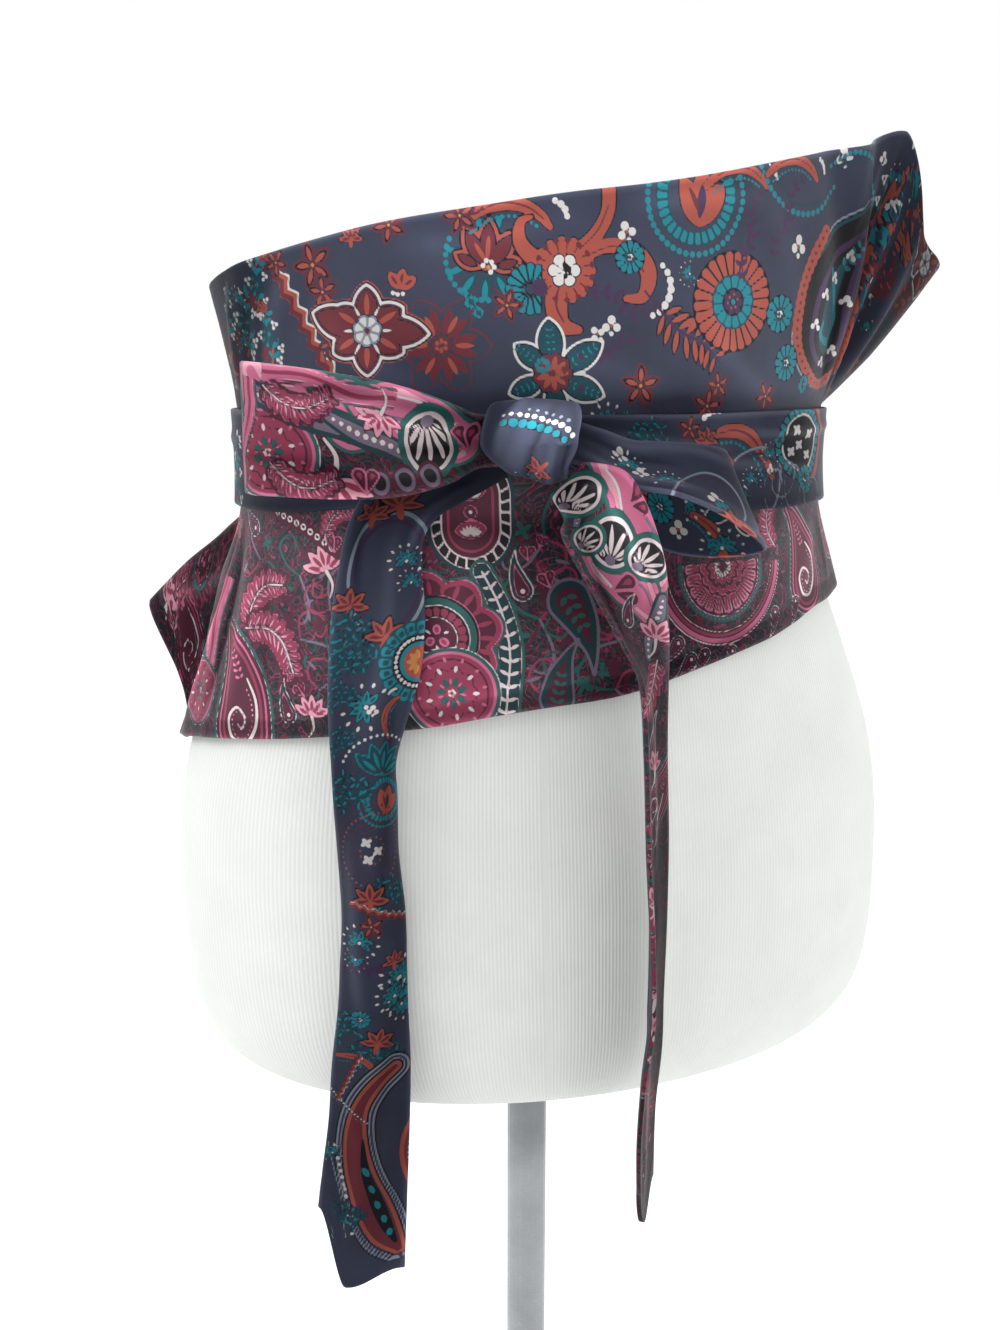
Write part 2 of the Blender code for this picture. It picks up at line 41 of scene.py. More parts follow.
# Studio. A camera at the height of the sash looks a little down on it.
# A pale floor, a near-white room and three large soft lamps give flat shop light.
CAMERA_AT = (-0.0145, -0.640, 0.694)
CAMERA_DOWN = 12.3
LENS_MM = 35.35
MM = 0.001

camera_data = bpy.data.cameras.new("shop_camera")
camera_data.sensor_width = 36.0
camera_data.lens = LENS_MM
camera_data.clip_start = 0.02
shop_camera = bpy.data.objects.new("shop_camera", camera_data)
shop_camera.location = CAMERA_AT
shop_camera.rotation_euler = (math.radians(90.0 - CAMERA_DOWN), 0.0, 0.0)
bpy.context.scene.collection.objects.link(shop_camera)
bpy.context.scene.camera = shop_camera


def linear(hex_colour):
    # an sRGB hex colour as the linear values that the shaders take
    out = []
    for k in (1, 3, 5):
        v = int(hex_colour[k:k + 2], 16) / 255.0
        out.append(v / 12.92 if v <= 0.04045 else ((v + 0.055) / 1.055) ** 2.4)
    return (*out, 1.0)


def add_node(tree, kind, links=(), **settings):
    # one node, its settings by name and its links as (socket, where it comes from)
    node = tree.nodes.new(kind)
    for name, value in settings.items():
        if name.startswith("in_"):
            node.inputs[int(name[3:])].default_value = value
        else:
            setattr(node, name, value)
    for socket, source in links:
        tree.links.new(source, node.inputs[socket])
    return node


def blank_material(name):
    material = bpy.data.materials.new(name)
    material.use_nodes = True
    tree = material.node_tree
    return material, tree, tree.nodes["Principled BSDF"]


# the room is white where the camera looks and darker behind it, as by a window wall
room = bpy.context.scene.world or bpy.data.worlds.new("room")
bpy.context.scene.world = room
bpy.context.scene.view_settings.view_transform = "Standard"
room.use_nodes = True
tree = room.node_tree
wall_light = tree.nodes["Background"]
toward = add_node(tree, "ShaderNodeTexCoord")
apart = add_node(tree, "ShaderNodeSeparateXYZ", [(0, toward.outputs["Generated"])])
front_to_back = add_node(tree, "ShaderNodeMapRange", [(0, apart.outputs[1])],
                         in_1=-0.9, in_2=0.7, in_3=0.64, in_4=0.88)
low_to_high = add_node(tree, "ShaderNodeMapRange", [(0, apart.outputs[2])],
                       in_1=-0.2, in_2=0.9, in_3=0.75, in_4=1.25)
light = add_node(tree, "ShaderNodeMath", [(0, front_to_back.outputs[0]),
                                          (1, low_to_high.outputs[0])], operation="MULTIPLY")
seen = add_node(tree, "ShaderNodeLightPath")
strength = add_node(tree, "ShaderNodeMix", [(0, seen.outputs["Is Camera Ray"]),
                                            (2, light.outputs[0])], data_type="FLOAT", in_3=1.0)
tree.links.new(strength.outputs[0], wall_light.inputs[1])
wall_light.inputs[0].default_value = linear("#ffffff")

for name, at, aim, size, power in (
    ("lamp_left_high", (-1.1, -0.55, 1.55), (0.0, 0.0, 0.66), 0.8, 9.0),
    ("lamp_right_soft", (1.5, -0.2, 1.2), (0.0, 0.0, 0.60), 1.2, 5.0),
    ("lamp_top_back", (0.1, 0.9, 2.0), (0.0, 0.0, 0.65), 1.4, 8.0),
):
    lamp_data = bpy.data.lights.new(name, "AREA")
    lamp_data.size = size
    lamp_data.energy = power
    lamp = bpy.data.objects.new(name, lamp_data)
    lamp.location = at
    aim_line = Vector(at) - Vector(aim)
    lamp.rotation_euler = aim_line.to_track_quat("Z", "Y").to_euler()
    bpy.context.scene.collection.objects.link(lamp)

# the floor is a matt white sweep of painted board
bpy.ops.mesh.primitive_plane_add(size=14.0, location=(0.0, 0.0, 0.0))
studio_floor = bpy.context.object
studio_floor.name = "studio_floor"
floor_paint, tree, shader = blank_material("matt_white_board")
speckle = add_node(tree, "ShaderNodeTexNoise", in_2=40.0, in_3=3.0)
tone = add_node(tree, "ShaderNodeMix", [(0, speckle.outputs[0])], data_type="RGBA",
                in_6=linear("#f4f5f6"), in_7=linear("#fafafa"))
tree.links.new(tone.outputs[2], shader.inputs["Base Color"])
shader.inputs["Roughness"].default_value = 0.9
shader.inputs["Emission Color"].default_value = linear("#ffffff")
shader.inputs["Emission Strength"].default_value = 0.22
studio_floor.data.materials.append(floor_paint)

# Stand. A plain steel tube stands in the collar of a heavy round foot.
# Both are drawn and turned steel, lightly brushed round the tube, with a clear gloss.
BRUSH_MM = 0.8         # spacing of the brush marks, drawn coarse enough to show

# brushed steel: grey metal with faint rings of brush marks and dull stains
brushed_steel, tree, shader = blank_material("brushed_steel")
place_on = add_node(tree, "ShaderNodeTexCoord")
squeezed = add_node(tree, "ShaderNodeMapping", [(0, place_on.outputs["Object"])])
squeezed.inputs[3].default_value = (1.0, 1.0, 12.0)
brush = add_node(tree, "ShaderNodeTexNoise", [(0, squeezed.outputs[0])],
                 in_2=0.1 / (BRUSH_MM * MM), in_3=4.0)
dull = add_node(tree, "ShaderNodeMapRange", [(0, brush.outputs[0])], in_3=0.20, in_4=0.38)
stain = add_node(tree, "ShaderNodeTexNoise", [(0, place_on.outputs["Object"])],
                 in_2=22.0, in_3=3.0)
tone = add_node(tree, "ShaderNodeMix", [(0, stain.outputs[0])], data_type="RGBA",
                in_6=linear("#6f7275"), in_7=linear("#aeb1b3"))
# painted shade: the steel is painted darker close under the form, where the form shades it
high = add_node(tree, "ShaderNodeSeparateXYZ", [(0, place_on.outputs["Object"])])
painted_shade_under_form = add_node(tree, "ShaderNodeMapRange", [(0, high.outputs[2])],
                   in_1=0.27, in_2=0.36, in_3=1.0, in_4=0.42)
shaded_steel_tone = add_node(tree, "ShaderNodeVectorMath", [(0, tone.outputs[2]), (1, painted_shade_under_form.outputs[0])],
                  operation="MULTIPLY")
grain = add_node(tree, "ShaderNodeBump", [(3, brush.outputs[0])], in_0=0.10, in_1=0.0002)
tree.links.new(shaded_steel_tone.outputs[0], shader.inputs["Base Color"])
tree.links.new(dull.outputs[0], shader.inputs["Roughness"])
tree.links.new(grain.outputs[0], shader.inputs["Normal"])
shader.inputs["Metallic"].default_value = 1.0
for node_name in ("stand_pole", "stand_base"):
    bpy.data.objects[node_name].material_slots[0].material = brushed_steel

# Dress form. A padded hip-and-waist form in a white ribbed jersey cover.
# The cover is one knitted tube pulled over the form and gathered out of sight beneath.

# heights in every table are in millimetres from the waist, angles in degrees from
# the front, with 90 at the right of the photograph
WAIST = 660.0          # the height of the middle of the tie above the floor
FORM_X = 2.5           # the form stands this far to the side of its pole
FORM_LEAN = 0.022      # and its hips lean out this much for each millimetre down
FORM_TURN = 16.0       # degrees the form is turned to its left
RIB_MM = 1.9           # the cover's ribs
POLE_HOLE = 10.8       # the radius of the hole for the pole, and its depth below
SOCKET = 46.0
CAP_TOP = 82.0         # the top of the form's cap, inside the sash
FORM_ROWS = [
    # height, half width, half depth
    (-293, 130, 78),
    (-290, 149, 92),
    (-282, 164.5, 104),
    (-268, 173.5, 112),
    (-248, 178, 117),
    (-222, 179.8, 119),
    (-190, 179.8, 119.5),
    (-165, 178, 118.5),
    (-140, 173.5, 116.5),
    (-115, 165.5, 114),
    (-90, 156, 111),
    (-60, 145, 107),
    (-30, 139, 103.5),
    (0, 137, 102),
    (30, 138, 104),
    (58, 139, 106),
    (68, 136, 102),
    (74, 126, 93),
    (76, 108, 78),
]


def row_at(rows, x):
    # the values of a table at x, eased from row to row without overshoot
    table = np.array(rows, dtype=float)
    at = np.clip(np.asarray(x, dtype=float), table[0, 0], table[-1, 0])
    k = np.clip(np.searchsorted(table[:, 0], at, side="right") - 1, 0, len(table) - 2)
    span = table[k + 1, 0] - table[k, 0]
    u = (at - table[k, 0]) / span
    out = []
    for c in range(1, table.shape[1]):
        v = table[:, c]
        rise = np.diff(v) / np.diff(table[:, 0])
        slope = np.zeros(len(v))
        turn = rise[:-1] * rise[1:]
        total = np.where(turn > 0, rise[:-1] + rise[1:], 1.0)
        slope[1:-1] = np.where(turn > 0, 2.0 * turn / total, 0.0)
        out.append((2 * u ** 3 - 3 * u * u + 1) * v[k] + (3 * u * u - 2 * u ** 3) * v[k + 1]
                   + span * ((u ** 3 - 2 * u * u + u) * slope[k]
                             + (u ** 3 - u * u) * slope[k + 1]))
    return out


def form_radius(angle, height):
    half_width, half_depth = row_at(FORM_ROWS, height)
    turn = np.radians(angle - FORM_TURN)
    return 1.0 / np.hypot(np.sin(turn) / half_width, np.cos(turn) / half_depth)


def place(angle, radius, height):
    a = np.radians(angle)
    middle = FORM_X - FORM_LEAN * np.minimum(height, 0.0)
    return np.stack([middle + radius * np.sin(a), -radius * np.cos(a), WAIST + height], -1)


def add_piece(name, points, faces, slots, fields=None, finish=None):
    # a mesh in metres from points in millimetres, smooth, riding on the root body
    mesh = bpy.data.meshes.new(name)
    mesh.from_pydata((np.asarray(points) * MM).tolist(), [], faces)
    for material in slots:
        mesh.materials.append(material)
    for field, values in (fields or {}).items():
        layer = mesh.attributes.new(field, "FLOAT_VECTOR", "POINT")
        layer.data.foreach_set("vector", np.asarray(values, dtype=np.float32).ravel())
    if finish is not None:
        mesh.polygons.foreach_set("material_index", np.asarray(finish, dtype=np.int32))
    mesh.polygons.foreach_set("use_smooth", np.ones(len(faces), dtype=bool))
    mesh.update()
    piece = bpy.data.objects.new(name, mesh)
    bpy.context.scene.collection.objects.link(piece)
    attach(piece, "root")
    return piece


# white rib jersey: matt, with fine upright ribs and a white that is faintly uneven
rib_jersey, tree, shader = blank_material("white_rib_jersey")
cloth_at = add_node(tree, "ShaderNodeAttribute", attribute_name="cloth")
apart = add_node(tree, "ShaderNodeSeparateXYZ", [(0, cloth_at.outputs["Vector"])])
turns = add_node(tree, "ShaderNodeMath", [(0, apart.outputs[0])], operation="MULTIPLY",
                 in_1=2.0 * math.pi / RIB_MM)
rib = add_node(tree, "ShaderNodeMath", [(0, turns.outputs[0])], operation="SINE")
yarn = add_node(tree, "ShaderNodeTexNoise", [(0, cloth_at.outputs["Vector"])],
                in_2=0.9, in_3=4.0)
slub = add_node(tree, "ShaderNodeTexNoise", [(0, cloth_at.outputs["Vector"])],
                in_2=0.035, in_3=2.0)
knit = add_node(tree, "ShaderNodeMath", [(0, rib.outputs[0]), (1, yarn.outputs[0])],
                operation="ADD")
# painted shade: the troughs between the ribs are painted a little darker than the ridges, with some
# random yarn unevenness
shade_of_rib = add_node(tree, "ShaderNodeMapRange", [(0, knit.outputs[0])],
                        in_1=-1.0, in_2=1.6, in_3=0.0, in_4=1.0)
tone = add_node(tree, "ShaderNodeMix", [(0, shade_of_rib.outputs[0])], data_type="RGBA",
                in_6=linear("#e2e4e2"), in_7=linear("#eef0ee"))
soiled = add_node(tree, "ShaderNodeMix", [(0, slub.outputs[0]), (6, tone.outputs[2])],
                  data_type="RGBA", blend_type="MULTIPLY", in_7=linear("#f1f2ef"))
ribs = add_node(tree, "ShaderNodeBump", [(3, knit.outputs[0])], in_0=0.16, in_1=0.0004)
tree.links.new(soiled.outputs[2], shader.inputs["Base Color"])
tree.links.new(ribs.outputs[0], shader.inputs["Normal"])
shader.inputs["Roughness"].default_value = 0.88
shader.inputs["Sheen Weight"].default_value = 0.12

COVER_COLUMNS = 288    # points round the cover
COVER_STEP = 4.0       # and about this many millimetres apart up it
HIP_GIRTH = 145.0      # the mean radius that the ribs are counted round
cover_levels = []
heights = [row[0] for row in FORM_ROWS]
for low, high in zip(heights, heights[1:]):
    cuts = max(3, round((high - low) / COVER_STEP))
    cover_levels += [low + (high - low) * c / cuts for c in range(cuts)]
cover_levels = np.array(cover_levels + [heights[-1]])
ring_angles = np.arange(COVER_COLUMNS) * 360.0 / COVER_COLUMNS
tall, round_it = np.meshgrid(cover_levels, ring_angles, indexing="ij")
cover = [place(round_it, form_radius(round_it, tall), tall)]
for share in (0.8, 0.6, 0.4, 0.2, 0.05):
    lift = heights[-1] + (CAP_TOP - heights[-1]) * (1.0 - share)
    cover.append(place(ring_angles, form_radius(ring_angles, heights[-1]) * share,
                       np.full(COVER_COLUMNS, lift))[None])
under = []
for radius, height in ((POLE_HOLE, heights[0] + SOCKET), (POLE_HOLE, heights[0] + 1.0),
                       (POLE_HOLE + 1.0, heights[0]), (60.0, heights[0]),
                       (100.0, heights[0])):
    a = np.radians(ring_angles)
    squash = 1.0 if radius < 90.0 else 0.70
    under.append(np.stack([radius * np.sin(a), -radius * squash * np.cos(a),
                           np.full(COVER_COLUMNS, WAIST + height)], -1)[None])
cover = np.concatenate(under + cover)
rows = len(cover)
faces = []
for i in range(rows - 1):
    here, above = i * COVER_COLUMNS, (i + 1) * COVER_COLUMNS
    for k in range(COVER_COLUMNS):
        n = (k + 1) % COVER_COLUMNS
        faces.append((here + k, here + n, above + n, above + k))
faces.append(tuple((rows - 1) * COVER_COLUMNS + k for k in range(COVER_COLUMNS)))
faces.append(tuple(reversed(range(COVER_COLUMNS))))
around = np.tile(ring_angles / 360.0 * 2.0 * math.pi * HIP_GIRTH, (rows, 1))
# the ribs close up evenly where the knit is drawn in beneath and over the cap
knit_at = np.stack([around, cover[..., 2], np.zeros((rows, COVER_COLUMNS))], -1)
form_cover_piece = add_piece("form_cover_jersey", cover.reshape(-1, 3), faces,
                             [rib_jersey], {"cloth": knit_at.reshape(-1, 3)})
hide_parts("form_torso")

# Upper half of the sash panel. Printed polyester satin, cut double with a stiff
# layer inside, turned and pressed, so the top edge is a soft roll with no stitching.
# It wraps the waist and leans out over the hips into a wing at the right.
CLOTH = 2.0            # a finished wall: two layers of satin and the stiff one
GAP = 0.4              # clear space under cloth that lies on something
BAND = 23.0            # half the height that the tie holds against the form
EASE = 2.0             # how softly the panel leaves the form
END_ANGLE = 130.0      # the panel ends this far round from the front
CLEAR_OF_FORM = 50.0   # above this height the panel keeps the form's size here
EDGE_ROLL = 0.9        # the turned edge's roll past the wall's last row of points
PANEL_COLUMNS = 112    # points up each half of the panel
FINE_ANGLE = 97.0      # degrees from the front over which its rows are fine
FINE_STEP = 0.345      # and from one fine row to the next
COARSE_ROWS = 45       # rows from there to each end of the panel
TOP_EDGE = [
    # angle, height, clear
    (-130, -12, 3),
    (-115, 40, 4.5),
    (-100, 64, 10),
    (-84, 74, 12),
    (-70, 78, 10),
    (-58, 82, 9),
    (-44, 88, 7),
    (-30, 94, 6),
    (-12, 99.5, 5.5),
    (6, 105, 5.5),
    (20, 108.5, 6.2),
    (32, 112.5, 7.2),
    (45, 118.3, 10),
    (59, 125.7, 16),
    (73, 134, 25),
    (80.5, 141.5, 33),
    (87.5, 100, 44),
    (95, 87, 59),
    (102, 81, 55),
    (112, 71, 36),
    (122, 62, 13),
    (130, 56, 3),
]
BOTTOM_EDGE = [
    # angle, height, clear
    (-130, -56, 3),
    (-121, -63, 16),
    (-112, -70, 38),
    (-104, -75, 57),
    (-98, -78, 59),
    (-92, -110, 29),
    (-86, -139, 7),
    (-80, -133, 4.5),
    (-70, -126, 4),
    (-60, -120.5, 3.8),
    (-47, -115, 3.6),
    (-34, -110, 3.6),
    (-21, -105.5, 3.6),
    (-10, -101, 3.6),
    (0, -98, 3.6),
    (14, -95, 3.8),
    (35, -85.4, 4.2),
    (50, -78, 5),
    (60, -72.5, 6),
    (70, -66.5, 7),
    (84, -65, 4.5),
    (98, -61, 4.5),
    (114, -36, 4.5),
    (130, 12, 3),
]
SEAM_LINE = [
    # angle, height, half the gap
    (-130, -34, 0.30),
    (-115, -17, 0.30),
    (-100, 0, 0.15),
    (100, 0, 0.15),
    (115, 17, 0.30),
    (130, 34, 0.30),
]
FOLDS = [
    # angle at tie, angle at edge, 1 for top or -1 for bottom, depth, width
    (84, 62, 1, -2.4, 3.2),
    (86, 69, 1, 2.6, 2.8),
    (88, 75.5, 1, -3, 2.6),
    (91, 84, 1, 3, 3),
    (98, 98, 1, -3, 4),
    (74, 40, 1, 1.6, 5),
    (-70, -58, 1, 1.8, 5),
    (-92, -88, 1, -2.2, 5),
    (-84, -62, -1, 1.6, 3.4),
    (-86, -71, -1, 2.2, 3),
    (-88, -80, -1, 2.4, 3),
    (-92, -90, -1, -3, 3),
    (-99, -101, -1, 2.6, 4.5),
    (88, 88, -1, 1.8, 4.5),
    (66, 52, -1, 1.4, 5),
]


def softer_max(a, b):
    return 0.5 * (a + b + np.hypot(a - b, EASE))


def lying(angle, height):
    # the middle of a cloth wall that lies on the form
    return form_radius(angle, np.minimum(height, CLEAR_OF_FORM)) + GAP + CLOTH / 2 + EASE / 2


def fold_push(angle, part, side):
    push = 0.0
    for at_tie, at_edge, which, depth, width in FOLDS:
        middle = at_tie + (at_edge - at_tie) * part
        bump = depth * np.exp(-((angle - middle) / width) ** 2)
        push = push + np.where(side == which, bump, 0.0)
    return push * np.minimum(1.0, part * 1.6)


def panel_radius(angle, height):
    # inside the tie's height the panel lies on the form; past it, it leans out
    side = np.where(height > 0, 1, -1)
    top, top_clear = row_at(TOP_EDGE, angle)
    bottom, bottom_clear = row_at(BOTTOM_EDGE, angle)
    edge = np.where(side > 0, top, bottom)
    clear = np.where(side > 0, top_clear, bottom_clear)
    base = lying(angle, height)
    over = side * height - BAND
    run = np.maximum(side * edge - BAND, 1.0)
    part = np.clip(over / run, 0.0, 1.0)
    start = lying(angle, side * BAND) - EASE / 2
    reach = form_radius(angle, np.minimum(edge, CLEAR_OF_FORM)) + clear
    bend = 1.12 - 0.005 * clear
    lean = start + (reach - start) * part ** bend * np.minimum(1.0, run / 14.0)
    free = np.minimum(1.0, clear / np.where(side > 0, 12.0, 8.0))
    lean = lean + fold_push(angle, part, side) * np.maximum(free, 0.35)
    return np.where(over <= 0.0, base, softer_max(lean, base - EASE / 2))


def grid_normals(grid, closed):
    if closed:
        along = np.roll(grid, -1, 0) - np.roll(grid, 1, 0)
    else:
        along = np.gradient(grid, axis=0)
    across = np.gradient(grid, axis=1)
    out = np.cross(along, across)
    return out / np.maximum(np.linalg.norm(out, axis=-1, keepdims=True), 1e-9)


def soft_creases(along, across, rows):
    # listed soft troughs and ridges, each on a bowed line, faded at its ends
    push = np.zeros(np.shape(along))
    for x0, y0, x1, y1, bow, width, depth in rows:
        dx, dy = x1 - x0, y1 - y0
        long = math.hypot(dx, dy)
        t = ((along - x0) * dx + (across - y0) * dy) / long ** 2
        off = ((along - x0) * -dy + (across - y0) * dx) / long
        off = off - bow * 4.0 * t * (1.0 - t)
        fade = np.clip(t * 4.0, 0.0, 1.0) * np.clip((1.0 - t) * 4.0, 0.0, 1.0)
        push = push + depth * fade * np.exp(-(off / width) ** 2)
    return push


def cloth_shell(middle, back_step, closed=False, sign=1.0):
    # the points and faces of a thin cloth wall round its middle, with rolled edges;
    # the side that shows is fine and the other takes every back_step-th line
    normal = grid_normals(middle, closed) * sign
    rows, columns = middle.shape[:2]
    half = CLOTH / 2.0
    off_low = middle[:, 0] - middle[:, 1]
    off_low /= np.linalg.norm(off_low, axis=-1, keepdims=True)
    off_high = middle[:, -1] - middle[:, -2]
    off_high /= np.linalg.norm(off_high, axis=-1, keepdims=True)
    face = middle + normal * half
    back_at = sorted(set(list(range(0, columns, back_step)) + [columns - 1]))
    back = (middle - normal * half)[:, back_at]
    turns = np.radians([36.0, 72.0, 108.0, 144.0])
    high_roll = [middle[:, -1] + half * (math.cos(f) * normal[:, -1] + EDGE_ROLL * math.sin(f) * off_high)
                 for f in turns]
    low_roll = [middle[:, 0] + half * (math.cos(f) * normal[:, 0] + EDGE_ROLL * math.sin(f) * off_low)
                for f in turns[::-1]]
    ring = np.concatenate([face, np.stack(high_roll, 1), back[:, ::-1], np.stack(low_roll, 1)], 1)
    n = ring.shape[1]
    faces, finish = [], []
    last_face = columns + len(turns)
    steps = rows if closed else rows - 1
    for i in range(steps):
        a, b = i * n, ((i + 1) % rows) * n
        for j in range(n):
            k = (j + 1) % n
            quad = (a + j, a + k, b + k, b + j)
            faces.append(quad if sign < 0 else quad[::-1])
            finish.append(1 if last_face <= j < n - len(turns) - 1 else 0)
    if not closed:
        for i, turn in ((0, 1), (rows - 1, -1)):
            a = i * n
            far = [a + n - len(turns) - 1 - k for k in range(len(back_at))]
            loops = []
            for k in range(len(back_at) - 1):
                near = [a + j for j in range(back_at[k], back_at[k + 1] + 1)]
                loops += [(near[m], near[m + 1], far[k]) for m in range(len(near) - 1)]
                loops.append((near[-1], far[k + 1], far[k]))
            high = [a + columns - 1 + k for k in range(len(turns) + 2)]
            loops += [(high[m], high[m + 1], far[-1]) for m in range(len(high) - 2)]
            low = [far[0]] + [a + n - len(turns) + k for k in range(len(turns))] + [a]
            loops += [(low[m], low[m + 1], low[0]) for m in range(1, len(low) - 1)]
            for loop in loops:
                faces.append(loop if turn * sign > 0 else loop[::-1])
                finish.append(0)
    return ring, faces, finish, back_at


def cloth_run(middle, from_row):
    # how far each point is along and across the cloth, in millimetres
    step = np.linalg.norm(np.diff(middle, axis=0), axis=-1)
    along = np.concatenate([np.zeros((1, middle.shape[1])), np.cumsum(step, 0)])
    along -= along[from_row][None]
    step = np.linalg.norm(np.diff(middle, axis=1), axis=-1)
    across = np.concatenate([np.zeros((middle.shape[0], 1)), np.cumsum(step, 1)], 1)
    return along, across


def ring_run(along, across, back_at):
    # the same places for every point round the shell
    roll = np.arange(1, 5) * 0.6
    high = across[:, -1:] + roll[None]
    low = across[:, :1] - roll[::-1][None]
    four = np.ones((1, 4))
    u = np.concatenate([along, along[:, -1:] * four, along[:, back_at][:, ::-1],
                        along[:, :1] * four], 1)
    v = np.concatenate([across, high, across[:, back_at][:, ::-1], low], 1)
    return u, v


def panel_middle(upper, creases):
    # fine rows where it shows in front, coarser ones round to the back
    fine = np.arange(-FINE_ANGLE, FINE_ANGLE + 0.01, FINE_STEP)
    left = np.linspace(-END_ANGLE, -FINE_ANGLE, COARSE_ROWS + 1)[:-1]
    angles = np.concatenate([left, fine, -left[::-1]])
    seam, gap = row_at(SEAM_LINE, angles)
    top, bottom = row_at(TOP_EDGE, angles)[0], row_at(BOTTOM_EDGE, angles)[0]
    low = seam + gap + EDGE_ROLL if upper else bottom + EDGE_ROLL
    high = top - EDGE_ROLL if upper else seam - gap - EDGE_ROLL
    t = np.linspace(0.0, 1.0, PANEL_COLUMNS)[None]
    height = low[:, None] + (high - low)[:, None] * t
    angle = angles[:, None] + 0.0 * t
    radius = panel_radius(angle, height)
    flat = place(angle, radius, height)
    middle_line = int(np.argmin(np.abs(angles)))
    along, across = cloth_run(flat, middle_line)
    across = across + low[:, None] if upper else across - across[:, -1:] + high[:, None]
    radius = radius + soft_creases(along, across, creases)
    return place(angle, radius, height), along, across


# The floral print is screened on the satin in nine inks. Each ink has a field over
# the cloth, in millimetres and below zero where it lies, that the dye reads as an edge.
CORAL, TEAL, WHITE, PLUM, INK, RUST, MIST, DEEP, AMBER = range(9)


def disc(x, y, cx, cy, r):
    return np.hypot(x - cx, y - cy) - r


def leaf(x, y, x0, y0, x1, y1, wide):
    # a pointed lens from one point to the other
    half = max(math.hypot(x1 - x0, y1 - y0) / 2.0, wide * 1.001)
    c, s = (x1 - x0) / (2.0 * half), (y1 - y0) / (2.0 * half)
    px, py = x - (x0 + x1) / 2.0, y - (y0 + y1) / 2.0
    round_off = (half * half + wide * wide) / (2.0 * wide)
    return np.hypot(px * c + py * s, np.abs(py * c - px * s) + round_off - wide) - round_off


def rail(points):
    # a smooth line through points of place and half width
    cuts = 5
    p = np.array(points, dtype=float)
    out = []
    for k in range(len(p) - 1):
        before, after = p[max(k - 1, 0)], p[min(k + 2, len(p) - 1)]
        for c in range(cuts):
            u = c / cuts
            out.append(0.5 * (2 * p[k] + (p[k + 1] - before) * u
                              + (2 * before - 5 * p[k] + 4 * p[k + 1] - after) * u * u
                              + (3 * p[k] - before - 3 * p[k + 1] + after) * u ** 3))
    return np.array(out + [p[-1]])


def stroke(x, y, points):
    # a brush line that thins and swells
    line = rail(points)
    best = np.full(np.shape(x), 99.0)
    for (ax, ay, ar), (bx, by, br) in zip(line, line[1:]):
        dx, dy = bx - ax, by - ay
        t = np.clip(((x - ax) * dx + (y - ay) * dy) / (dx * dx + dy * dy + 1e-9), 0.0, 1.0)
        best = np.minimum(best, np.hypot(x - ax - t * dx, y - ay - t * dy) - ar - (br - ar) * t)
    return best


def paced(points, pitch):
    # places at even steps along a line, each with the line's heading
    line = rail(points)
    run = np.concatenate([[0.0], np.cumsum(np.hypot(*np.diff(line[:, :2], axis=0).T))])
    for d in np.arange(pitch / 2.0, run[-1], pitch):
        k = min(int(np.searchsorted(run, d)) - 1, len(line) - 2)
        t = (d - run[k]) / (run[k + 1] - run[k])
        at = line[k] + (line[k + 1] - line[k]) * t
        head = math.atan2(line[k + 1, 1] - line[k, 1], line[k + 1, 0] - line[k, 0])
        yield at[0], at[1], at[2], head


def beads(x, y, points, pitch):
    best = np.full(np.shape(x), 99.0)
    for bx, by, r, head in paced(points, pitch):
        best = np.minimum(best, disc(x, y, bx, by, r))
    return best


def fringe(x, y, points, pitch, long, wide, lean=60.0):
    # leaves set along a line on both sides of it, like a fern
    best = np.full(np.shape(x), 99.0)
    for bx, by, r, head in paced(points, pitch):
        for side in (1, -1):
            a = head + side * math.radians(lean)
            size = r * long
            best = np.minimum(best, leaf(x, y, bx, by, bx + size * math.cos(a),
                                         by + size * math.sin(a), wide * r))
    return best


def rays(x, y, count, inner, outer, gap, bulge=0.8, turn=0.0):
    # a ring of round-ended petals with thin gaps between
    r, a = np.hypot(x, y), np.arctan2(y, x) - math.radians(turn)
    step = 2.0 * math.pi / count
    b = np.abs(a / step - np.round(a / step)) * step
    side = gap / 2.0 - r * np.sin(np.maximum(step / 2.0 - b, 0.0))
    tip = r - outer + bulge * (2.0 * b / step) ** 2
    return np.maximum(np.maximum(side, tip), inner - r)


def spokes(x, y, count, half):
    # thin straight lines out from the middle
    a = np.arctan2(y, x) * count / (2.0 * math.pi)
    return np.hypot(x, y) * np.sin(np.abs(a - np.round(a)) * 2.0 * math.pi / count) - half


def petals(x, y, count, inner, outer, wide, turn=0.0, span=360.0):
    # pointed petals round a middle, over the whole turn or part of it
    best = np.full(np.shape(x), 99.0)
    for k in range(count):
        share = k / count if span >= 360.0 else k / max(count - 1, 1) - 0.5
        a = math.radians(turn + span * share)
        best = np.minimum(best, leaf(x, y, inner * math.cos(a), inner * math.sin(a),
                                     outer * math.cos(a), outer * math.sin(a), wide))
    return best


def scallops(x, y, count, radius, depth, turn=0.0):
    a = np.arctan2(y, x) - math.radians(turn)
    return np.hypot(x, y) - radius - depth * np.abs(np.cos(count * a / 2.0)) + depth


def leaves(x, y, *rows):
    # several leaves as one outline
    return np.minimum.reduce([leaf(x, y, *row) for row in rows])


def arc(radius, size, start, end, count):
    # a line of points for beads on part of a circle, angles in radians
    return [(radius * math.cos(a), radius * math.sin(a), size)
            for a in np.linspace(start, end, count)]


def layers(field, *inks):
    # one outline drawn in ink after ink, each so far outside it or inside it
    for ink, outside in inks:
        yield ink, field - outside


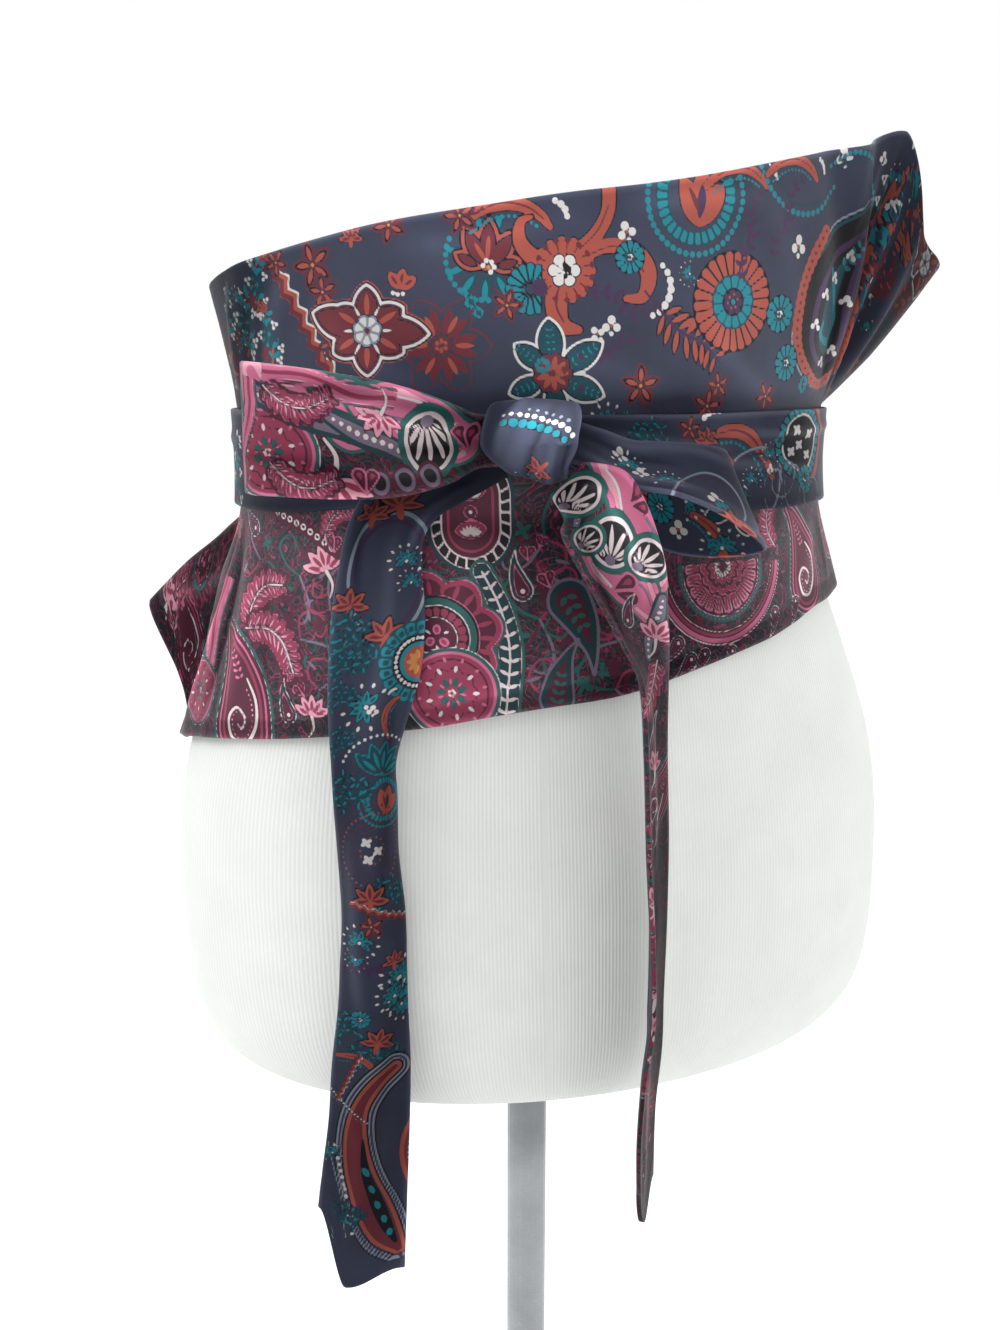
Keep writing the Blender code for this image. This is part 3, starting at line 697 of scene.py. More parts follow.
def stamp(inks, u, v, motif, at_u, at_v, turn, size):
    # one motif laid over what is already on the cloth
    draw, reach = motif
    near = np.hypot(u - at_u, v - at_v) < reach * size
    if not near.any():
        return
    a = math.radians(turn)
    dx, dy = (u[near] - at_u) / size, (v[near] - at_v) / size
    x, y = dx * math.cos(a) + dy * math.sin(a), dy * math.cos(a) - dx * math.sin(a)
    part = inks[:, near]
    for ink, d in draw(x, y):
        over = np.maximum(part, -d[None] * size)
        if ink is not None:
            over[ink] = np.minimum(part[ink], d * size)
        part = over
    inks[:, near] = part


def depth_of_shade(u, v, creases, rows, edges):
    # painted shade and highlight on the satin's colour, from below -1 where a painted highlight lies
    # to 1 where painted shade lies down in a fold; rows are soft patches given one by one
    deep = soft_creases(u, v, [row[:5] + (row[5] * 0.8, -row[6] * 0.30) for row in creases])
    for at_u, at_v, reach_u, reach_v, amount in rows:
        deep = deep + amount * np.exp(-((u - at_u) / reach_u) ** 2 - ((v - at_v) / reach_v) ** 2)
    # painted highlight: paler along both rolled edges, where they catch the light
    edge_highlight = np.exp(-(np.maximum(edges[1] - v, 0.0) / 1.1) ** 2)
    edge_highlight = edge_highlight + np.exp(-(np.maximum(v - edges[0], 0.0) / 1.1) ** 2)
    return np.clip(deep - 0.30 * edge_highlight, -1.3, 1.0)


def print_cloth(u, v, layout, deep=0.0):
    inks = np.full((9,) + u.shape, 6.0)
    for row in layout:
        stamp(inks, u, v, *row)
    # the cloth field carries the place on the cloth, and in z the painted shade and highlight
    return {"ink_a": np.stack([inks[0], inks[1], inks[2]], -1).reshape(-1, 3),
            "ink_b": np.stack([inks[3], inks[4], inks[5]], -1).reshape(-1, 3),
            "ink_c": np.stack([inks[6], inks[7], inks[8]], -1).reshape(-1, 3),
            "cloth": np.stack([u, v, deep + 0.0 * u], -1).reshape(-1, 3)}


def draw_ring_daisy(x, y):
    yield INK, disc(x, y, 0, 0, 20.4)
    yield CORAL, rays(x, y, 25, 10.8, 19.8, 0.8, 1.2)
    yield DEEP, disc(x, y, 0, 0, 10.9)
    yield TEAL, rays(x, y, 13, 5.4, 10.4, 0.7, 0.8, 6)
    yield INK, disc(x, y, 0, 0, 5.6)
    yield PLUM, rays(x, y, 7, 1.6, 5, 0.5)
    yield CORAL, beads(x, y, [(3, 0, .7), (0, 3, .7), (-3, 0, .7), (0, -3, .7), (3, 0, .7)], 2.7)
    yield TEAL, disc(x, y, 0, 0, 1.2)


def draw_curled_flower(x, y):
    arms = np.minimum.reduce([
        stroke(x, y, [(-2, 2, 3.4), (-11, 4, 3.2), (-17, 10, 2.6), (-17, 17, 1.7), (-13, 19, .8)]),
        stroke(x, y, [(4, 6, 3), (12, 13, 2.7), (17, 23, 2.6), (16, 38, 2.8)]),
        stroke(x, y, [(4, 3, 2.6), (15, 9, 2.6), (27, 8, 3.2), (34, 0, 3.4), (32, -9, 2.4),
                      (25, -10, 1.3)]),
        stroke(x, y, [(-1, -3, 4.6), (-3, -12, 4.3), (-1, -20, 3.4), (6, -22, 1.5)]),
        rays(x, y, 15, 2, 12.5, 0.1, 2)])
    yield INK, arms - 0.6
    yield CORAL, arms
    yield RUST, rays(x, y, 15, 7.5, 11.8, 1.9, 1.8, 12)
    yield CORAL, rays(x, y, 15, 6, 11.2, 0.6, 1.6)
    yield RUST, stroke(x, y, [(6, 8, .3), (13, 15, .35), (17, 24, .3)])
    yield RUST, stroke(x, y, [(8, 5, .3), (18, 9, .35), (27, 7, .4), (32, 0, .3)])
    yield RUST, stroke(x, y, [(-2, -6, .3), (-3, -13, .4), (0, -19, .3)])
    fan = np.maximum(rays(x + 13, y + 7, 16, 2.2, 9.5, 0.7), x + 9)
    yield INK, fan - 0.5
    yield TEAL, fan
    yield PLUM, disc(x, y, -9.5, -6.5, 3)
    yield INK, rays(x, y, 6, 0, 6.7, 0.1, 1.6)
    yield WHITE, rays(x, y, 6, 0, 6.2, 0.5, 1.5)
    yield INK, stroke(x, y, [(0, 2.2, .8), (1.4, 0, 1.3), (.4, -2.4, .7)])
    yield WHITE, beads(x, y, [(-1.8, 1, .5), (0, -1, .5), (2, -1, .5)], 1.6)


def draw_leaf_flower(x, y):
    body = leaves(x, y, (0, 3, -2, 21, 5), (3, 1, 20, 12, 4.8), (3, -3, 21, -9, 4.8),
                        (-3, 2, -15, 11, 4), (-4, -3, -17, -8, 3.8), (0, -4, 3, -19, 4.2))
    yield from layers(body, (WHITE, 1.2), (INK, 0.1), (DEEP, -0.5))
    yield TEAL, np.minimum.reduce([
        fringe(x, y, [(0, 5, 1), (-1.6, 18, 1)], 2.6, 2.4, .5),
        fringe(x, y, [(5, 2, 1), (18, 11, 1)], 2.6, 2.4, .5),
        fringe(x, y, [(5, -3.6, 1), (19, -8.4, 1)], 2.6, 2.4, .5),
        fringe(x, y, [(-5, 3.6, 1), (-14, 10, 1)], 2.4, 2, .5),
        fringe(x, y, [(-6, -4, 1), (-15, -7.6, 1)], 2.4, 2, .5)])
    yield PLUM, np.minimum(disc(x, y, 12, -6, 1.4), disc(x, y, 11.5, 6.5, 1.4))
    yield INK, scallops(x, y, 9, 8.6, 1.2)
    yield RUST, scallops(x, y, 9, 8, 1.2)
    yield CORAL, petals(x, y, 9, 1, 7.2, 1.2)
    yield TEAL, rays(x + 4, y - 3, 8, 0, 3.4, 0.4)
    yield RUST, beads(x, y, [(3, -3, .6), (5, 1, .6), (2, 4, .6)], 2.4)


def draw_outlined_flower(x, y):
    body = np.minimum.reduce([
        petals(x, y, 6, 0, 18, 5.6, 20), leaf(x, y, -2, 0, -24, 12, 6),
        leaf(x, y, 2, 0, 26, -6, 5.6)])
    yield from layers(body, (CORAL, 3), (INK, 2.3), (WHITE, 1.7), (RUST, 0.4), (INK, -0.3),
                      (RUST, -1))
    yield CORAL, petals(x, y, 6, 5, 16, 1.3, 20)
    yield WHITE, petals(x, y, 6, 4.5, 12, 0.7, -10)
    yield INK, scallops(x, y, 7, 7.4, 1)
    yield MIST, scallops(x, y, 7, 6.9, 1)
    yield WHITE, rays(x, y, 7, 1.8, 6, 1)
    yield RUST, disc(x, y, 0, 0, 1.2)


def draw_teal_coral_flower(x, y):
    yield DEEP, petals(x, y, 11, 5, 17.5, 2.2, 5)
    yield TEAL, petals(x, y, 11, 8, 17, 1.2, 5)
    ring = arc(16, 1.1, 2.6, 6.4, 12)
    yield TEAL, beads(x, y, ring, 3)
    body = leaves(x, y, (0, -5, -9, 12, 4.4), (0, -5, 1, 15, 4.6), (0, -5, 11, 10, 4.4),
                        (-2, -4, -13, 2, 3.4), (2, -4, 14, -1, 3.4))
    yield from layers(body, (INK, 0.7), (CORAL, 0), (INK, -1.3), (RUST, -1.9))
    yield CORAL, leaves(x, y, (0, -2, 1, 9, 1), (0, -2, -5, 6, 0.9))
    yield WHITE, beads(x, y, [(-2, -4, 1), (0, -1, 1), (3, -3, 1), (1, -6, 1)], 2.3)
    yield AMBER, disc(x, y, 0.6, -3.6, 0.9)


def draw_shadow_flower(x, y):
    body = petals(x, y, 6, 0, 17, 5.6, 30)
    yield RUST, body
    yield None, body + 0.6
    yield RUST, petals(x, y, 12, 3, 12.5, 1.5, 15)
    yield CORAL, petals(x, y, 6, 4, 11, 0.9, 30)
    yield RUST, disc(x, y, 0, 0, 3)
    yield CORAL, rays(x, y, 6, 0.4, 2.4, 0.4)


def draw_wavy_stripe(x, y):
    wave = x + 3 * np.abs(np.mod(y / 4, 2) - 1) - 1.5
    end = np.abs(y) - 33
    yield CORAL, np.maximum(np.abs(wave) - 2.5, end)
    yield RUST, np.maximum(np.abs(wave + 0.9) - 1.2, end)
    yield WHITE, np.maximum(np.abs(wave - 3.1) - 0.6, end)


def draw_bud(x, y):
    yield INK, petals(x, y, 3, 0, 8.4, 2.6, 80, 90)
    yield CORAL, petals(x, y, 3, 0, 8, 2.2, 80, 90)
    yield RUST, petals(x, y, 3, 2, 6.4, 0.6, 80, 90)
    yield WHITE, beads(x, y, [(-4, -1, .9), (-1, -2, .9), (2, -1.6, .9)], 2.1)


def draw_fern(x, y):
    stem = [(-17, 6, 1), (-6, 0, 1.2), (6, -2, 1.1), (17, -8, .8)]
    yield INK, fringe(x, y, stem, 4.4, 8.6, 1.25, 64) - 0.5
    yield CORAL, fringe(x, y, stem, 4.4, 8.6, 1.05, 64)
    yield PLUM, stroke(x, y, [(-26, 12, .4), (-17, 6, .5), (-6, 0, .6), (6, -2, .5), (17, -8, .4)])


def draw_sprig(x, y):
    yield RUST, petals(x, y, 5, 0, 8, 1.9, 90) - 0.5
    yield INK, petals(x, y, 5, 0.6, 7.6, 1.5, 90)
    yield CORAL, petals(x, y, 5, 1, 6.6, 0.9, 90)
    yield RUST, disc(x, y, 0, 0, 1.3)
    yield AMBER, disc(x, y, 0, 0, 0.7)
    yield RUST, stroke(x, y, [(0, -2, .5), (1, -7, .45), (4, -10, .3)])


def draw_vine(x, y):
    line = [(-22, -8, .9), (-10, -2, 1), (0, -6, 1), (10, 0, .9), (22, -2, .7)]
    yield PLUM, fringe(x, y, line, 5.5, 5.5, 1.2, 48)
    yield PLUM, stroke(x, y, [(a, b, .45) for a, b, c in line])


def draw_teal_daisy(x, y):
    yield INK, disc(x, y, 0, 0, 8.6)
    yield TEAL, rays(x, y, 12, 2.6, 8.2, 0.7, 0.9)
    yield DEEP, disc(x, y, 0, 0, 2.8)
    yield WHITE, rays(x, y, 5, 0.4, 2, 0.5)


def draw_white_blossom(x, y):
    yield WHITE, np.minimum.reduce([disc(x, y, 0, 2.4, 1.7), disc(x, y, -2.3, -.6, 1.6),
                                    disc(x, y, 2.3, -.6, 1.6), disc(x, y, 0, -3, 1)])
    yield CORAL, disc(x, y, 0, 0, 0.7)


def draw_white_beads(x, y):
    line = [(4, 14, 1.3), (9, 8, 1.8), (10, 0, 2), (5, -8, 1.8), (-2, -11, 1.3)]
    yield INK, beads(x, y, line, 4) - 0.4
    yield WHITE, beads(x, y, line, 4)


def draw_teal_ring(x, y):
    yield DEEP, np.abs(np.hypot(x, y) - 15.5) - 2.8
    yield TEAL, rays(x, y, 30, 13.2, 17.8, 0.9, 0.6)
    ring = arc(21.5, 1.25, -3.4, 0.6, 22)
    yield TEAL, beads(x, y, ring, 3.1)
    body = leaves(x, y, (2, -11, -7, 8, 4.6), (2, -11, 3, 12, 4.8), (2, -11, 12, 6, 4.6))
    yield INK, body - 0.5
    yield CORAL, body
    yield PLUM, leaf(x, y, 2, -8, 2.4, 5, 2)
    yield RUST, leaf(x, y, 2, -6, -4, 4, 1)


def draw_coral_scroll(x, y):
    line = [(-30, -6, 2), (-16, 2, 3.2), (0, 3, 3.6), (12, -3, 3), (18, -10, 1.6)]
    yield INK, stroke(x, y, line) - 0.6
    yield CORAL, stroke(x, y, line)
    yield RUST, stroke(x, y, [(-22, -1, .4), (-8, 4, .6), (6, 1, .5), (15, -6, .4)])
    yield TEAL, beads(x, y, [(-26, -11, 1.1), (-12, -4, 1.1), (2, -4, 1.1), (12, -10, 1.1)], 3.2)
    yield WHITE, beads(x, y, [(20, 4, 1.6), (26, 0, 2), (28, -7, 1.5)], 3.6)


def draw_big_paisley(x, y):
    x = x * 0.74
    spine = [(0, -16, 15), (-1, -4, 14), (1, 8, 11), (6, 20, 7), (13, 29, 3.6),
             (18, 32, 1.2)]
    body = stroke(x, y, spine)
    yield from layers(body, (MIST, 3.9), (INK, 3.1), (DEEP, 2.5), (INK, 1.5))
    edge = [(-12, 18, 2), (-16, 6, 2), (-18, -8, 2.1), (-14, -24, 2.1), (0, -33, 2.1),
            (13, -26, 2.1), (17, -12, 1.9), (15, 2, 1.7)]
    yield INK, body
    yield PLUM, np.abs(body + 5) - 1.1
    yield DEEP, body + 9
    yield CORAL, beads(x, y, edge, 2.9)
    yield RUST, beads(x, y, [(a, b, .6) for a, b, c in edge], 2.9)
    yield TEAL, stroke(x, y, [(-5, 6, .9), (-1, 0, 1.3), (4, -8, 1.6), (2, -17, 1.5),
                              (-5, -17, 1.1), (-5, -12, .6)])
    yield TEAL, fringe(x, y, [(1, 8, 1), (6, 18, .8)], 3, 3.6, .9)
    for bx, by in ((-7, -3), (7, -1), (-9, -14), (8, -19), (0, -25), (3, 14), (-2, 4)):
        yield WHITE, np.minimum.reduce([disc(x, y, bx, by + 1, 1.1), disc(x, y, bx - 1.4, by - .8, 1),
                                        disc(x, y, bx + 1.4, by - .8, 1)])


def draw_foliage(x, y):
    yield CORAL, stroke(x, y, [(-2, -16, .8), (1, -6, .9), (-3, 4, .7), (3, 14, .5)])
    yield TEAL, fringe(x, y, [(-2, -15, 1.1), (1, -6, 1), (-3, 4, 1), (3, 13, .8)], 5.2, 7.5, 1.5, 50)
    yield DEEP, petals(x, y, 7, 1, 8, 1.3, 12)
    yield RUST, petals(x + 6, y + 9, 5, 0, 5.6, 1.4, 30)
    for bx, by in ((7, -9), (-8, 2), (6, 4), (-5, 12), (4, -15)):
        yield WHITE, petals(x - bx, y - by, 3, 0.9, 2.6, 1, 40 * bx)


def draw_beaded_arc(x, y):
    line = [(-24, 6, 1.2), (-14, -4, 1.3), (0, -8, 1.3), (14, -4, 1.3), (24, 8, 1.1)]
    yield TEAL, beads(x, y, line, 3.2)
    yield DEEP, stroke(x, y, [(a * .92, b + 3.4, .5) for a, b, c in line])


def draw_slate_oval(x, y):
    rim = np.hypot(x, y * 0.62) - 13
    yield MIST, np.abs(rim) - 0.5
    yield PLUM, np.abs(rim + 2) - 0.45


def draw_teal_spray(x, y):
    yield INK, petals(x, y, 7, 0.6, 7.6, 1.7, 90, 230)
    yield TEAL, petals(x, y, 7, 1, 7.2, 1.25, 90, 230)
    yield DEEP, petals(x, y, 7, 2.4, 5.6, 0.5, 90, 230)
    yield WHITE, petals(x, y, 9, 8.2, 10.8, 0.7, 90, 240)
    yield WHITE, disc(x, y, 0, -0.2, 1)


def draw_thistle(x, y):
    yield INK, petals(x, y, 5, -2, 9.6, 2.3, 90, 190) - 0.4
    yield CORAL, petals(x, y, 5, -2, 9.4, 1.9, 90, 190)
    yield RUST, petals(x, y, 5, 1, 7.4, 0.7, 90, 190)
    yield CORAL, leaf(x, y, 0, 0, 0, -7, 1.4)


def draw_leafy_patch(x, y):
    for bx, by, t in ((-8, 3, 20), (-1, 6, 80), (6, 3, 140), (-3, -3, 200), (5, -5, 300),
                      (-10, -5, 250), (1, 0, 30), (10, -1, 100), (-5, -9, 160)):
        yield INK, petals(x - bx, y - by, 5, 0.4, 5.2, 1.25, t)
        yield DEEP, petals(x - bx, y - by, 5, 0.6, 4.9, 0.95, t)
        yield TEAL, petals(x - bx, y - by, 3, 0.6, 4.4, 0.65, t)


def draw_beaded_half(x, y):
    r = np.hypot(x, y)
    half = x - 3
    yield DEEP, np.maximum(r - 17, half)
    yield TEAL, np.maximum(rays(x, y, 20, 11.6, 16.6, 0.9, 1), half)
    yield DEEP, np.maximum(rays(x, y, 20, 12.8, 15, 2.6, 0.4), half)
    yield INK, np.maximum(r - 11.2, half)
    ring = arc(9.8, 0.85, 1.4, 4.9, 14)
    yield WHITE, beads(x, y, ring, 2)
    yield TEAL, np.maximum(r - 8.2, half)
    yield CORAL, np.maximum(r - 6.6, half)
    yield AMBER, petals(x, y, 5, 1, 5.6, 1, 180, 150)


def draw_leaf_fan(x, y):
    body = petals(x, y, 5, 0, 17, 3.2, 90, 110)
    yield from layers(body, (DEEP, 0.6), (TEAL, 0), (DEEP, -0.9))
    yield TEAL, petals(x, y, 5, 3, 13, 0.9, 90, 110)
    arch = arc(19.5, 0.8, 0.35, 2.9, 12)
    yield WHITE, beads(x, y, arch, 2.8)
    yield RUST, beads(x, y, [(a * .78 - 3, b * .55 - 8, .6) for a, b, c in arch], 2.6)


def draw_dotted_patch(x, y):
    for k, (level, ink) in enumerate(((15, RUST), (12.4, CORAL), (9.8, RUST), (7.2, RUST),
                                      (4.6, CORAL))):
        ring = [(level * math.cos(a), level * 1.25 * math.sin(a), 0.55)
                for a in np.linspace(0.2 * k, 6.28 + 0.2 * k, 16)]
        yield ink, beads(x, y, ring, 2.3)
    for bx, by in ((-3, 3), (2, 0), (-1, -4)):
        yield WHITE, petals(x - bx, y - by, 4, 0, 2.4, 0.8, 45)


def draw_coral_band(x, y):
    # a long bowed band between pale outlines, with a dark heart and drops down it
    line = [(15, 43, 2.4), (5, 37, 3), (-4, 27, 3.6), (-9, 13, 5), (-10, -4, 6.6),
            (-7, -21, 7.6), (-1, -38, 6.6), (7, -53, 3)]
    band = stroke(x, y, line)
    yield from layers(band, (INK, 4.2), (MIST, 3.4), (PLUM, 2.5), (MIST, 1.5), (INK, 0.8),
                      (CORAL, 0), (RUST, -1.7))
    yield INK, stroke(x, y, [(-6, 12, .5), (-7.5, -4, 2), (-5, -20, 3), (0, -36, 2.4), (5, -48, .8)])
    for bx, by in ((-7.4, -4), (-6.4, -13), (-4.6, -22), (-1.6, -31), (1.4, -40)):
        yield TEAL, leaf(x, y, bx - .9, by + 2.8, bx + .9, by - 2.8, 1.3)
    bend = [(20, 20, 1), (12, 10, 1.2), (9, -4, 1.2), (12, -22, 1)]
    yield CORAL, stroke(x, y, bend)
    yield RUST, stroke(x, y, [(a + 1.4, b, r * .5) for a, b, r in bend])
    yield WHITE, beads(x, y, [(19, 12, .8), (14, 6, .9), (12, -2, .8)], 2.4)


def draw_bead_line(x, y):
    yield WHITE, beads(x, y, [(0, 22, .9), (1.5, 8, 1), (3.5, -8, 1), (7, -24, .9)], 3.1)
    yield MIST, stroke(x, y, [(-3, 22, .35), (-1.4, 8, .35), (.6, -8, .35), (4, -24, .3)])


def draw_knot_beads(x, y):
    top = [(-16, 4.2, 1.5), (-8, 2, 1.9), (2, 1.4, 1.8), (11, 3.4, 1.4), (16, 6.4, .9)]
    yield INK, beads(x, y, top, 3.9) - 0.5
    yield TEAL, beads(x, y, top, 3.9)
    low = [(-17, .6, .8), (-8, -1.8, 1.1), (3, -2.2, 1.2), (12, -.2, 1.3), (18, 3.6, 1.1)]
    yield WHITE, beads(x, y, low, 3.2)
    yield MIST, beads(x, y, [(a, b - 3.2, r * .7) for a, b, r in low[1:4]], 3.6)


def draw_dot_ring(x, y):
    # a band of teal round a dark middle scattered with small white blossoms
    x = x * 0.66
    r = np.hypot(x, y * 0.86)
    yield INK, r - 15.6
    yield TEAL, rays(x, y * 0.86, 26, 12, 15, 0.7, 0.5)
    yield WHITE, np.abs(r - 11.2) - 0.55
    yield CORAL, np.maximum(np.abs(r - 17.6) - 1.3, x + 2)
    for bx, by in ((-5, 4), (4, 6), (1, -1), (-5, -6), (6, -4)):
        yield WHITE, petals(x - bx, y - by, 4, 0, 2.9, 1, 40)


RING_DAISY = (draw_ring_daisy, 22)
CURLED_FLOWER = (draw_curled_flower, 46)
LEAF_FLOWER = (draw_leaf_flower, 26)
OUTLINED_FLOWER = (draw_outlined_flower, 34)
TEAL_CORAL_FLOWER = (draw_teal_coral_flower, 21)
SHADOW_FLOWER = (draw_shadow_flower, 20)
WAVY_STRIPE = (draw_wavy_stripe, 36)
BUD = (draw_bud, 12)
FERN = (draw_fern, 31)
SPRIG = (draw_sprig, 13)
VINE = (draw_vine, 28)
TEAL_DAISY = (draw_teal_daisy, 10)
WHITE_BLOSSOM = (draw_white_blossom, 6)
WHITE_BEADS = (draw_white_beads, 20)
TEAL_RING = (draw_teal_ring, 26)
CORAL_SCROLL = (draw_coral_scroll, 40)
BIG_PAISLEY = (draw_big_paisley, 56)
FOLIAGE = (draw_foliage, 22)
BEADED_ARC = (draw_beaded_arc, 30)
SLATE_OVAL = (draw_slate_oval, 25)
TEAL_SPRAY = (draw_teal_spray, 12)
THISTLE = (draw_thistle, 12)
LEAFY_PATCH = (draw_leafy_patch, 18)
BEADED_HALF = (draw_beaded_half, 19)
LEAF_FAN = (draw_leaf_fan, 23)
DOTTED_PATCH = (draw_dotted_patch, 22)
CORAL_BAND = (draw_coral_band, 66)
BEAD_LINE = (draw_bead_line, 28)
KNOT_BEADS = (draw_knot_beads, 21)
DOT_RING = (draw_dot_ring, 30)


INK_EDGE = 0.14        # millimetres over which one ink gives way to the next
FOLD_DARK = 0.24       # the share of its brightness that the satin's colour keeps deep in a fold, as painted shade


def dyed_satin(name, grounds, dyes, filler):
    # warp-faced satin with a low gloss; the ground, then each ink where its field is
    # below zero, then the thread, drawn at twice its real spacing so that it shows
    material, tree, shader = blank_material(name)
    cloth = add_node(tree, "ShaderNodeAttribute", attribute_name="cloth")
    parts = add_node(tree, "ShaderNodeSeparateXYZ", [(0, cloth.outputs["Vector"])])
    at = add_node(tree, "ShaderNodeCombineXYZ", [(0, parts.outputs[0]), (1, parts.outputs[1])])
    # painted shade and highlight: the colour is darkened where the cloth field's z is above zero, in
    # folds and under other pieces, and lightened where it is below zero
    painted_shade_factor = add_node(tree, "ShaderNodeMath", [(1, parts.outputs[2])], operation="POWER",
                    in_0=FOLD_DARK)
    # the ground drifts at random between a darker and a lighter tone, partly as painted sheen on the
    # satin
    drift = add_node(tree, "ShaderNodeTexNoise", [(0, at.outputs["Vector"])], in_2=0.03, in_3=3.0)
    tone = add_node(tree, "ShaderNodeMix", [(0, drift.outputs[0])], data_type="RGBA",
                    in_6=linear(grounds[0]), in_7=linear(grounds[1]))
    for scale, lines, width, colour in filler:
        field = add_node(tree, "ShaderNodeTexNoise", [(0, at.outputs["Vector"])],
                         in_2=scale, in_3=1.0)
        field.inputs["Distortion"].default_value = 1.6
        bands = add_node(tree, "ShaderNodeMath", [(0, field.outputs[0])],
                         operation="MULTIPLY", in_1=lines)
        wave = add_node(tree, "ShaderNodeMath", [(0, bands.outputs[0])],
                        operation="PINGPONG", in_1=0.5)
        thin = add_node(tree, "ShaderNodeMapRange", [(0, wave.outputs[0])],
                        in_1=width, in_2=width * 0.4)
        tone = add_node(tree, "ShaderNodeMix", [(0, thin.outputs[0]), (6, tone.outputs[2])],
                        data_type="RGBA", in_7=linear(colour))
    for start, field_name in ((0, "ink_a"), (3, "ink_b"), (6, "ink_c")):
        field = add_node(tree, "ShaderNodeAttribute", attribute_name=field_name)
        apart = add_node(tree, "ShaderNodeSeparateXYZ", [(0, field.outputs["Vector"])])
        for k in range(3):
            edge = add_node(tree, "ShaderNodeMapRange", [(0, apart.outputs[k])],
                            in_1=INK_EDGE, in_2=-INK_EDGE)
            tone = add_node(tree, "ShaderNodeMix", [(0, edge.outputs[0]), (6, tone.outputs[2])],
                            data_type="RGBA", in_7=linear(dyes[start + k]))
    slant = add_node(tree, "ShaderNodeMapping", [(0, at.outputs["Vector"])])
    slant.inputs[2].default_value = (0.0, 0.0, math.radians(27.0))
    twill = add_node(tree, "ShaderNodeTexWave", [(0, slant.outputs[0])], in_1=0.62,
                     in_2=1.2, in_3=1.0)
    yarn = add_node(tree, "ShaderNodeTexNoise", [(0, at.outputs["Vector"])], in_2=1.3, in_3=3.0)
    thread = add_node(tree, "ShaderNodeMath", [(0, twill.outputs[1]), (1, yarn.outputs[0])],
                      operation="ADD")
    lift = add_node(tree, "ShaderNodeMapRange", [(0, thread.outputs[0])],
                    in_1=0.3, in_2=1.7, in_3=0.86, in_4=1.10)
    depth = add_node(tree, "ShaderNodeMath", [(0, lift.outputs[0]), (1, painted_shade_factor.outputs[0])],
                     operation="MULTIPLY")
    woven = add_node(tree, "ShaderNodeVectorMath", [(0, tone.outputs[2]), (1, depth.outputs[0])],
                     operation="MULTIPLY")
    gloss = add_node(tree, "ShaderNodeMapRange", [(0, yarn.outputs[0])], in_3=0.36, in_4=0.50)
    soft = add_node(tree, "ShaderNodeTexNoise", [(0, at.outputs["Vector"])],
                    in_2=0.055, in_3=2.0)
    swell = add_node(tree, "ShaderNodeBump", [(3, soft.outputs[0])], in_0=0.35, in_1=0.0016)
    bump = add_node(tree, "ShaderNodeBump", [(3, thread.outputs[0]), (4, swell.outputs[0])],
                    in_0=0.16, in_1=0.0003)
    # the gloss is turned down where the painted shade lies deep in a fold, and up on a painted highlight
    glint = add_node(tree, "ShaderNodeMapRange", [(0, parts.outputs[2])],
                     in_1=-0.6, in_2=0.45, in_3=0.55, in_4=0.04)
    tree.links.new(woven.outputs[0], shader.inputs["Base Color"])
    tree.links.new(gloss.outputs[0], shader.inputs["Roughness"])
    tree.links.new(glint.outputs[0], shader.inputs["Specular IOR Level"])
    tree.links.new(bump.outputs[0], shader.inputs["Normal"])
    shader.inputs["Sheen Weight"].default_value = 0.06
    shader.inputs["Sheen Roughness"].default_value = 0.4
    return material


floral_satin = dyed_satin(
    "printed_satin_floral", ("#2c2f3f", "#484d64"),
    # coral, teal, white, plum, ink, rust, mist, deep teal, amber
    ("#ab5346", "#1f8290", "#dcd8d6", "#483252", "#17171f", "#702e38", "#8b98a6",
     "#1b4b57", "#cf8a4c"), [])


UPPER_CREASES = [
    # along and across at one end, the same at the other, bow, width, depth
    (146, 27, 141, 104, 4, 8, 0.9),
    (161, 27, 168, 128, 3, 5, -1.3),
    (167, 27, 181, 142, 2, 3.4, 1.5),
    (172, 27, 192, 142, -2, 3, -1.7),
    (176, 28, 205, 134, 2, 3.6, 1.9),
    (182, 29, 219, 124, 3, 3.2, -2),
    (189, 31, 238, 116, 2, 4.4, 1.9),
    (198, 34, 259, 110, 3, 4, -2),
    (214, 34, 284, 104, 4, 5.5, 1.6),
    (232, 34, 310, 88, 4, 6, -1.5),
    (112, 27, 70, 62, 6, 6, 0.55),
    (60, 26, -10, 44, -5, 6.5, 0.5),
    (-40, 27, -96, 66, 6, 7, 0.6),
    (-120, 27, -104, 84, 5, 6, 0.8),
    (-138, 27, -128, 80, 3, 4.5, -0.9),
    (-150, 27, -146, 76, 3, 4, 1),
    (-172, 26, -190, 66, 3, 5, -1),
    (-200, 22, -232, 58, 3, 6, 1.2),
    (30, 100, 96, 106, 2, 5, 0.7),
    (-60, 84, 12, 96, -2, 5, 0.6),
]
